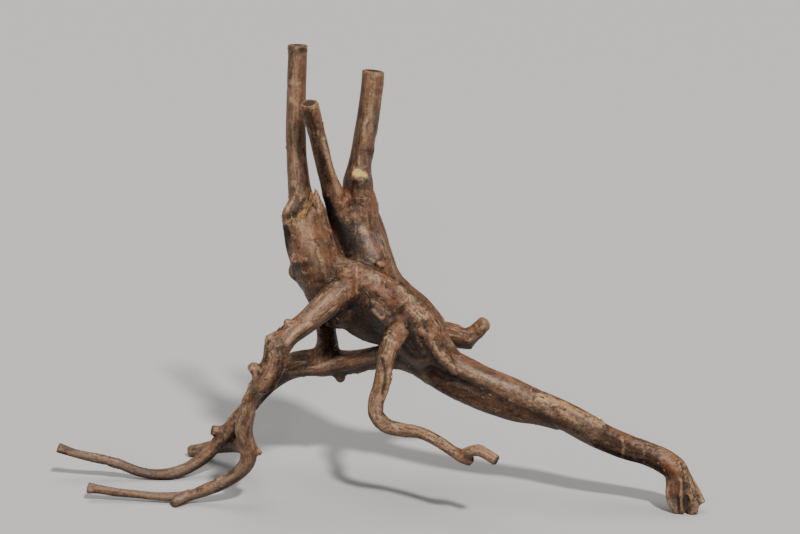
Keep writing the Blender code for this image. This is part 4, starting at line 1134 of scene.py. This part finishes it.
# Shrub rootwood, dried and brushed clean: a satin brown skin, paler where it is worn and with painted highlights,
# and painted shade that is near black in its creases, pits and cracks and darker underneath
weatheredRootwood = {
    "deep": "#2c1d14",
    "brown": "#5b3e2a",
    "light": "#835c3f",
    # Pale: worn wood and scars, and also painted highlights and glints
    "paleAndHighlight": "#c8a27c",
    "orange": "#8c532f",
    "lilac": "#786356",
    # Umber: painted shade on undersides, dark sides and in hollows
    "shadeUmber": "#302017",
    # Painted shade, multiplied in where the wood sees little sky
    "sheltered": "#6e594d",
    "dark": "#1a110c",
    "black": "#1b1715",
    "straw": "#ba8a54",
    "fresh": "#dcba66",
    "sawn": "#8f7456",
    "pith": "#4a3022",
    "rim": "#b08c60",
    "redwood": "#5f402d",
    "toneStops": (0.38, 0.50, 0.63),
    # The swell share paints shade and light: large hollows darker, large bulges lighter
    "toneShares": {
        "streakLong": 0.12, "streakShort": 0.12, "fibre": 0.26, "patch": 0.26, "mottle": 0.24, "swellShade": 0.12,
    },
    "roughness": (0.22, 0.50),
    # Pattern spacings in millimetres, drawn about twice as coarse as real grain so that they show at this size
    "grains": {"fibre": (1.6, 14.0, 4), "fleck": (2.1, 5.5, 3), "hair": (0.7, 9.0, 2)},
    "clouds": {"mottle": (22.0, 6, 0.6), "patch": (9.0, 6, 0.9), "speck": (2.0, 3, 0.0), "grit": (0.9, 2, 0.0)},
    "grainRoughness": 0.6,
    "cloudRoughness": 0.62,
    "bumpHeight": 0.6,
}


def makeRootwood(name):
    look = weatheredRootwood
    material, tree, shader = startMaterial(name)
    field = {"tone": 0.0}
    for label in ("along", "seam", "streakShort", "streakLong", "ridge", "swellShade", "gnarl", "pitted", "cut", "ring",
                  "sky", "grainy"):
        field[label] = addNode(tree, "ShaderNodeAttribute", attribute_name=label).outputs["Fac"]
    across = addNode(tree, "ShaderNodeAttribute", attribute_name="across").outputs["Vector"]
    for label, names in packedTints.items():
        packed = addNode(tree, "ShaderNodeAttribute", attribute_name=label).outputs["Vector"]
        apart = addNode(tree, "ShaderNodeSeparateXYZ", {0: packed})
        for one, socket in zip(names, apart.outputs):
            field[one + "Mark"] = socket

    place = addNode(tree, "ShaderNodeTexCoord").outputs["Object"]
    inMm = addNode(tree, "ShaderNodeVectorMath", {0: place, 1: (1000, 1000, 1000)}, operation="MULTIPLY").outputs[0]
    for label, (spacing, length, detail) in look["grains"].items():
        drawn = addNode(tree, "ShaderNodeMath", {0: field["along"], 1: length}, operation="DIVIDE").outputs[0]
        sockets = {"Vector": across, "W": drawn, "Scale": 1 / spacing, "Detail": detail,
                   "Roughness": look["grainRoughness"]}
        field[label] = addNode(tree, "ShaderNodeTexNoise", sockets, noise_dimensions="4D").outputs["Fac"]
    for label, (spacing, detail, twist) in look["clouds"].items():
        sockets = {"Vector": inMm, "Scale": 1 / spacing, "Detail": detail, "Distortion": twist,
                   "Roughness": look["cloudRoughness"]}
        field[label] = addNode(tree, "ShaderNodeTexNoise", sockets).outputs["Fac"]

    rows = [("tone", "MULTIPLY_ADD", label, share, "tone") for label, share in look["toneShares"].items()]
    low, high = look["roughness"]
    rows += [
        ("coarse", "MULTIPLY_ADD", "grainy", 0.6, 0.4),
        ("half", "MULTIPLY", "fibre", 0.45),
        ("broken", "MULTIPLY_ADD", "speck", 0.55, "half"),
        ("worn", "ramp", "broken", 0.42, 0.58),
        ("mostlyWorn", "MULTIPLY_ADD", "worn", 0.6, 0.4),
        ("barelyWorn", "MULTIPLY_ADD", "worn", -0.25, 0.95),
        # What lies over the whole skin
        ("warm", "ramp", "mottle", 0.48, 0.62, 0, 0.45),
        ("smear", "ramp", "patch", 0.53, 0.66, 0, 0.35),
        ("smear", "MULTIPLY", "smear", "worn"),
        ("shade", "ramp", "mottle", 0.46, 0.34, 0, 0.5),
        ("shade", "MULTIPLY", "shade", "coarse"),
        # Painted glints: pale specks that stand in for highlights
        ("glint", "ramp", "grit", 0.58, 0.68, 0, 0.6),
        ("glint", "MULTIPLY", "glint", "coarse"),
        ("pinhole", "ramp", "grit", 0.40, 0.32, 0, 0.65),
        ("pinhole", "MULTIPLY", "pinhole", "coarse"),
        # Ridges paler: partly wear, partly painted highlight
        ("high", "ramp", "ridge", 0.08, 0.42, 0, 0.55),
        ("high", "MULTIPLY", "high", "worn"),
        ("paleFleck", "ramp", "fleck", 0.575, 0.65, 0, 0.7),
        ("paleFleck", "MULTIPLY", "paleFleck", "grainy"),
        ("darkFleck", "ramp", "fleck", 0.41, 0.34, 0, 0.7),
        ("darkFleck", "MULTIPLY", "darkFleck", "grainy"),
        ("hairline", "ramp", "fibre", 0.385, 0.33, 0, 0.6),
        ("hairline", "MULTIPLY", "hairline", "grainy"),
        # Painted shade in hollows and pits
        ("low", "ramp", "ridge", -0.12, -0.55, 0, 0.42),
        ("pitShade", "MULTIPLY", "pitted", 0.4),
        # The marks of the photo
        ("orangeMark", "MULTIPLY", "orangeMark", 0.8),
        ("lilacMark", "MULTIPLY", "lilacMark", "mostlyWorn"),
        # Umber marks are painted shade
        ("shadeUmberMark", "MULTIPLY", "shadeUmberMark", "barelyWorn"),
        # Pale marks: pale scars and worn spots, and painted highlights on lit tops and down the stems
        ("paleAndHighlightMark", "MULTIPLY", "paleAndHighlightMark", "mostlyWorn"),
        ("strawMark", "MULTIPLY", "strawMark", "mostlyWorn"),
        ("shadow", "MULTIPLY", "darkMark", 0.65),
        # Black marks: a stain on the right trunk, and painted shade in cracks, hollows, grooves and the hollow
        # under the crown
        ("stainAndShade", "MULTIPLY", "blackMark", "barelyWorn"),
        # Sawn and torn ends
        ("rings", "MULTIPLY_ADD", "speck", 0.5, "ring"),
        ("heart", "ramp", "rings", 0.8, 1.12),
        ("bark", "ramp", "rings", 1.08, 1.16),
        ("clear", "MULTIPLY_ADD", "darkMark", -0.7, 1),
        ("onCut", "MULTIPLY", "cut", "clear"),
        ("frayed", "ramp", "grit", 0.38, 0.52, 0.65, 1),
        ("frayed", "MULTIPLY", "frayed", "strawMark"),
        # Finish and relief
        # Painted shade where the wood sees little sky
        ("skyShade", "ramp", "sky", 0.02, 0.52, 1, 0),
        ("dull", "line", "broken", 0.35, 0.62, low, high),
        ("dull", "MULTIPLY_ADD", "grainy", 0.1, "dull"),
        ("dull", "MULTIPLY_ADD", "shadeUmberMark", 0.25, "dull"),
        ("dull", "MULTIPLY_ADD", "blackMark", 0.3, "dull"),
        ("dull", "MULTIPLY_ADD", "cut", 0.2, "dull"),
        ("dull", "MULTIPLY_ADD", "tornMark", 0.25, "dull"),
        # Less specular under the umber painted shade and where little sky is seen
        ("sheen", "MULTIPLY_ADD", "shadeUmberMark", -0.4, 0.5),
        ("sheen", "MULTIPLY_ADD", "skyShade", -0.1, "sheen"),
        ("calm", "MULTIPLY_ADD", "seam", -1, 1),
        ("relief", "MULTIPLY_ADD", "hair", 0.4, "fibre"),
        ("relief", "MULTIPLY_ADD", "fleck", 0.8, "relief"),
        ("relief", "MULTIPLY", "relief", "calm"),
        ("relief", "MULTIPLY", "relief", "coarse"),
        ("rubble", "MULTIPLY_ADD", "gnarl", 1.0, 0.35),
        ("rubble", "MULTIPLY", "rubble", "speck"),
        ("relief", "ADD", "relief", "rubble"),
        ("relief", "MULTIPLY_ADD", "grit", 0.35, "relief"),
    ]
    workOut(tree, field, rows)

    ramp = addNode(tree, "ShaderNodeValToRGB", {"Fac": field["tone"]})
    stops = ramp.color_ramp.elements
    stops.new(look["toneStops"][1])
    for stop, position, shade in zip(stops, look["toneStops"], ("deep", "brown", "light")):
        stop.position, stop.color = position, toLinear(look[shade])
    wholes = {"skin": ramp.outputs["Color"]}
    # Each layer: what it colours, its colour and how much of it shows
    layers = [
        ("skin", "orange", "warm"), ("skin", "lilac", "smear"), ("skin", "deep", "shade"), ("skin", "paleAndHighlight", "high"),
        ("skin", "paleAndHighlight", "paleFleck"), ("skin", "paleAndHighlight", "glint"), ("skin", "shadeUmber", "shadeUmberMark"),
        ("skin", "orange", "orangeMark"), ("skin", "lilac", "lilacMark"), ("skin", "paleAndHighlight", "paleAndHighlightMark"),
        ("skin", "straw", "strawMark"), ("skin", "dark", "darkFleck"), ("skin", "dark", "hairline"),
        ("skin", "dark", "low"), ("skin", "dark", "pitShade"), ("skin", "dark", "pinhole"),
        ("skin", "fresh", "freshMark"), ("skin", "dark", "shadow"),
        ("end", "sawn", "heart"), ("end", "rim", "bark"), ("skin", "end", "onCut"),
        ("fray", "straw", "frayed"), ("fray", "paleAndHighlight", "paleAndHighlightMark"), ("fray", "dark", "shadow"),
        # Black stain with painted shade, then painted shade multiplied in where the wood sees little sky
        ("skin", "fray", "tornMark"), ("skin", "black", "stainAndShade"), ("skin", "sheltered", "skyShade"),
    ]
    wholes["end"], wholes["fray"] = toLinear(look["pith"]), toLinear(look["redwood"])
    for whole, shade, amount in layers:
        over = wholes[shade] if shade in wholes else toLinear(look[shade])
        blend = "MULTIPLY" if shade == "sheltered" else "MIX"
        sockets = {0: field[amount], 6: wholes[whole], 7: over}
        wholes[whole] = addNode(tree, "ShaderNodeMix", sockets, data_type="RGBA", blend_type=blend).outputs[2]
    tree.links.new(wholes["skin"], shader.inputs["Base Color"])
    tree.links.new(field["dull"], shader.inputs["Roughness"])
    tree.links.new(field["sheen"], shader.inputs["Specular IOR Level"])
    sockets = {"Height": field["relief"], "Strength": 1.0, "Distance": look["bumpHeight"] * mm}
    tree.links.new(addNode(tree, "ShaderNodeBump", sockets).outputs["Normal"], shader.inputs["Normal"])
    return material


rootSkin, skin = buildRootSkin()
rootSkin.data.materials.clear()
rootSkin.data.materials.append(makeRootwood("weatheredRootwood"))
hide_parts("dry_root")
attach(rootSkin, "root")


# How each sliver bends, narrows and thins: the lean and the two shares are of its own size
sliverShape = {
    "lean": 0.25,
    "narrowing": 1.5,
    "ragged": (0.75, 1.1),
    "curl": 1.7,
    "cup": 0.2,
    "thinning": 0.6,
}


def buildSlivers(name, places, aheads, ups, facts):
    # Thin curved plates that taper to a point, each with its foot sunk in the wood
    shaped, stations, outline = sliverShape, facts["stations"], (-1, 0, 1)
    points, faces, tones, rises = [], [], [], []
    for place, ahead, up in zip(places, aheads, ups):
        length, width, lift = [rng.uniform(*facts[size]) * mm for size in ("length", "width", "lift")]
        thick, side = facts["thick"] * mm, unit(np.cross(up, ahead))
        lean, tone, first = rng.normal() * shaped["lean"], rng.random(), len(points)
        for i in range(stations):
            t = i / (stations - 1)
            narrowed = 1 - facts["taper"] * t ** shaped["narrowing"]
            wide = width / 2 * narrowed * rng.uniform(*shaped["ragged"])
            middle = place + ahead * length * t + side * lean * length * t * t
            middle = middle + up * (lift * t ** shaped["curl"] - facts["sunk"] * mm * (1 - t))
            half = thick / 2 * (1 - shaped["thinning"] * t)
            for layer in (1, -1):
                for k in outline[::layer]:
                    cup = (1 - k * k) * shaped["cup"] * width
                    points.append(middle + side * k * wide + up * (cup + layer * half))
                    tones.append(tone)
                    rises.append(t)
        for i in range(stations - 1):
            a, b = first + 6 * i, first + 6 * (i + 1)
            faces += [(a + k, a + (k + 1) % 6, b + (k + 1) % 6, b + k) for k in range(6)]
        for end in (first, first + 6 * (stations - 1)):
            faces += [(end, end + 1, end + 4, end + 5), (end + 1, end + 2, end + 3, end + 4)]
    mesh = bpy.data.meshes.new(name)
    mesh.from_pydata([tuple(point) for point in points], [], faces)
    shape = bmesh.new()
    shape.from_mesh(mesh)
    bmesh.ops.recalc_face_normals(shape, faces=shape.faces)
    shape.to_mesh(mesh)
    shape.free()
    giveFields(mesh, {"tone": np.array(tones), "rise": np.array(rises)})
    piece = sceneObject(name, mesh)
    piece.data.materials.append(makeSliverwood(facts["look"]["name"], facts["look"]))
    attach(piece, "root")
    print(name + ":", len(places), "slivers")


def makeSliverwood(name, look):
    material, tree, shader = startMaterial(name)
    field = {}
    for label in ("tone", "rise"):
        field[label] = addNode(tree, "ShaderNodeAttribute", attribute_name=label).outputs["Fac"]
    place = addNode(tree, "ShaderNodeTexCoord").outputs["Object"]
    sockets = {"Vector": place, "Scale": 1 / (look["spacing"] * mm), "Detail": 3}
    field["grit"] = addNode(tree, "ShaderNodeTexNoise", sockets).outputs["Fac"]
    workOut(tree, field, [
        ("shade", "MULTIPLY_ADD", "grit", 0.8, "tone"),
        ("shade", "line", "shade", 0.3, 1.5),
        ("tip", "ramp", "rise", 0.5, 1.0, 0, look["tipShare"]),
        ("dull", "line", "grit", 0.3, 0.7, *look["roughness"]),
    ])
    colour = toLinear(look["dark"])
    for shade, amount in (("light", "shade"), ("tip", "tip")):
        sockets = {0: field[amount], 6: colour, 7: toLinear(look[shade])}
        colour = addNode(tree, "ShaderNodeMix", sockets, data_type="RGBA").outputs[2]
    tree.links.new(colour, shader.inputs["Base Color"])
    tree.links.new(field["dull"], shader.inputs["Roughness"])
    sockets = {"Height": field["grit"], "Strength": 0.6, "Distance": 0.2 * mm}
    tree.links.new(addNode(tree, "ShaderNodeBump", sockets).outputs["Normal"], shader.inputs["Normal"])
    return material


# Flakes of dry bark that have lifted at one end, mostly where the wood is gnarled: sizes in millimetres
barkFlakes = {
    "count": 520,
    "onSmoothWood": 0.05,
    "lowestRidge": -0.15,
    "lowestPlace": 4.0,
    "mostCut": 0.05,
    "thinnestRoot": 6.0,
    "scatter": 0.35,
    "length": (1.6, 4.6),
    "width": (0.8, 2.0),
    "lift": (0.1, 0.5),
    "thick": 0.35,
    "sunk": 0.3,
    "taper": 0.75,
    "stations": 4,
    # Old inner bark, split as it dried: matt, from umber to tan, with frayed pale tips
    "look": {"name": "driedBark", "dark": "#3d2d22", "light": "#8f7152", "tip": "#a88f70", "tipShare": 0.5,
             "spacing": 1.2, "roughness": (0.5, 0.8)},
}

# Fibres that stand in the tear: sizes in millimetres
tornFibres = {
    "count": 90,
    "tornFrom": 0.6,
    "atLeft": 0.2,
    "thickerFrom": (-60, -52),
    "way": (0.12, -0.1, 1.0),
    "scatter": 0.22,
    "length": (1.8, 5.5),
    "width": (0.5, 1.1),
    "lift": (0.0, 0.8),
    "thick": 0.4,
    "sunk": 0.8,
    "taper": 0.9,
    "stations": 5,
    # Sapwood torn dry: matt straw fibres, some browned, with bright tips
    "look": {"name": "tornSapwood", "dark": "#80562f", "light": "#c9a566", "tip": "#d8bd84", "tipShare": 0.6,
             "spacing": 0.8, "roughness": (0.6, 0.85)},
}


def pickSpots(weights, count):
    return rng.choice(len(weights), size=count, replace=False, p=weights / weights.sum())


flakeWeights = (barkFlakes["onSmoothWood"] + skin.gnarl**2) * (skin.ridge > barkFlakes["lowestRidge"])
flakeWeights *= skin.places[:, 2] > barkFlakes["lowestPlace"] * mm
flakeWeights *= (skin.cut + skin.torn) < barkFlakes["mostCut"]
flakeWeights *= skin.thick > barkFlakes["thinnestRoot"] * mm
picks = pickSpots(flakeWeights, barkFlakes["count"])
ways = skin.direction[picks] * rng.choice((-1, 1), size=len(picks))[:, None]
ways = ways + barkFlakes["scatter"] * rng.normal(size=ways.shape)
normals = skin.normals[picks]
ways = unit(ways - np.sum(ways * normals, axis=1, keepdims=True) * normals)
buildSlivers("barkFlakes", skin.places[picks], ways, normals, barkFlakes)

thicker = smoothStep(skin.places[:, 0] / mm, *tornFibres["thickerFrom"])
fibreWeights = (skin.torn > tornFibres["tornFrom"]) * (tornFibres["atLeft"] + thicker)
picks = pickSpots(fibreWeights, tornFibres["count"])
ways = unit(np.array(tornFibres["way"]) + tornFibres["scatter"] * rng.normal(size=(len(picks), 3)))
sides = unit(np.cross(ways, rng.normal(size=ways.shape)))
buildSlivers("tornFibres", skin.places[picks] - ways * mm, ways, sides, tornFibres)

# The floor, lights and camera: lights shine from far off, so that the floor is even
studio = {
    "floor": "#dddbd7",
    "floorSize": 30.0,
    "floorRoughness": 0.9,
    "worldColour": "#f2f3f5",
    "worldStrength": 0.16,
    "lights": {
        "keyLight": {"from": (0.5, -1.15, 1.3), "strength": 2.6, "angle": 5},
        "frontLight": {"from": (-0.1, -1.5, 0.45), "strength": 0.45, "angle": 6},
        "topLight": {"from": (-0.25, 0.25, 1.7), "strength": 0.85, "angle": 45},
        "leftLight": {"from": (-1.5, -0.6, 0.7), "strength": 0.12, "angle": 40},
    },
}


def makeStudio():
    shape = bmesh.new()
    bmesh.ops.create_grid(shape, x_segments=1, y_segments=1, size=studio["floorSize"] / 2)
    mesh = bpy.data.meshes.new("studioFloor")
    shape.to_mesh(mesh)
    shape.free()
    paper, _, shader = startMaterial("mattPaper")
    shader.inputs["Base Color"].default_value = toLinear(studio["floor"])
    shader.inputs["Roughness"].default_value = studio["floorRoughness"]
    mesh.materials.append(paper)
    sceneObject("studioFloor", mesh)

    for name, facts in studio["lights"].items():
        light = bpy.data.lights.new(name, "SUN")
        light.energy = facts["strength"]
        light.angle = math.radians(facts["angle"])
        lamp = sceneObject(name, light)
        lamp.location = facts["from"]
        lamp.rotation_euler = (-lamp.location).to_track_quat("-Z", "Y").to_euler()

    world = bpy.data.worlds.new("studioRoom")
    world.use_nodes = True
    sky = world.node_tree.nodes["Background"]
    sky.inputs["Color"].default_value = toLinear(studio["worldColour"])
    sky.inputs["Strength"].default_value = studio["worldStrength"]
    bpy.context.scene.world = world

    lens = bpy.data.cameras.new("photoCamera")
    lens.lens = photoView["lens"]
    lens.sensor_width = photoView["sensor"]
    camera = sceneObject("photoCamera", lens)
    camera.location = cameraPlace()
    camera.rotation_euler = (math.radians(90 - photoView["pitchDown"]), 0, 0)
    bpy.context.scene.camera = camera
    print("studio: ready")


makeStudio()
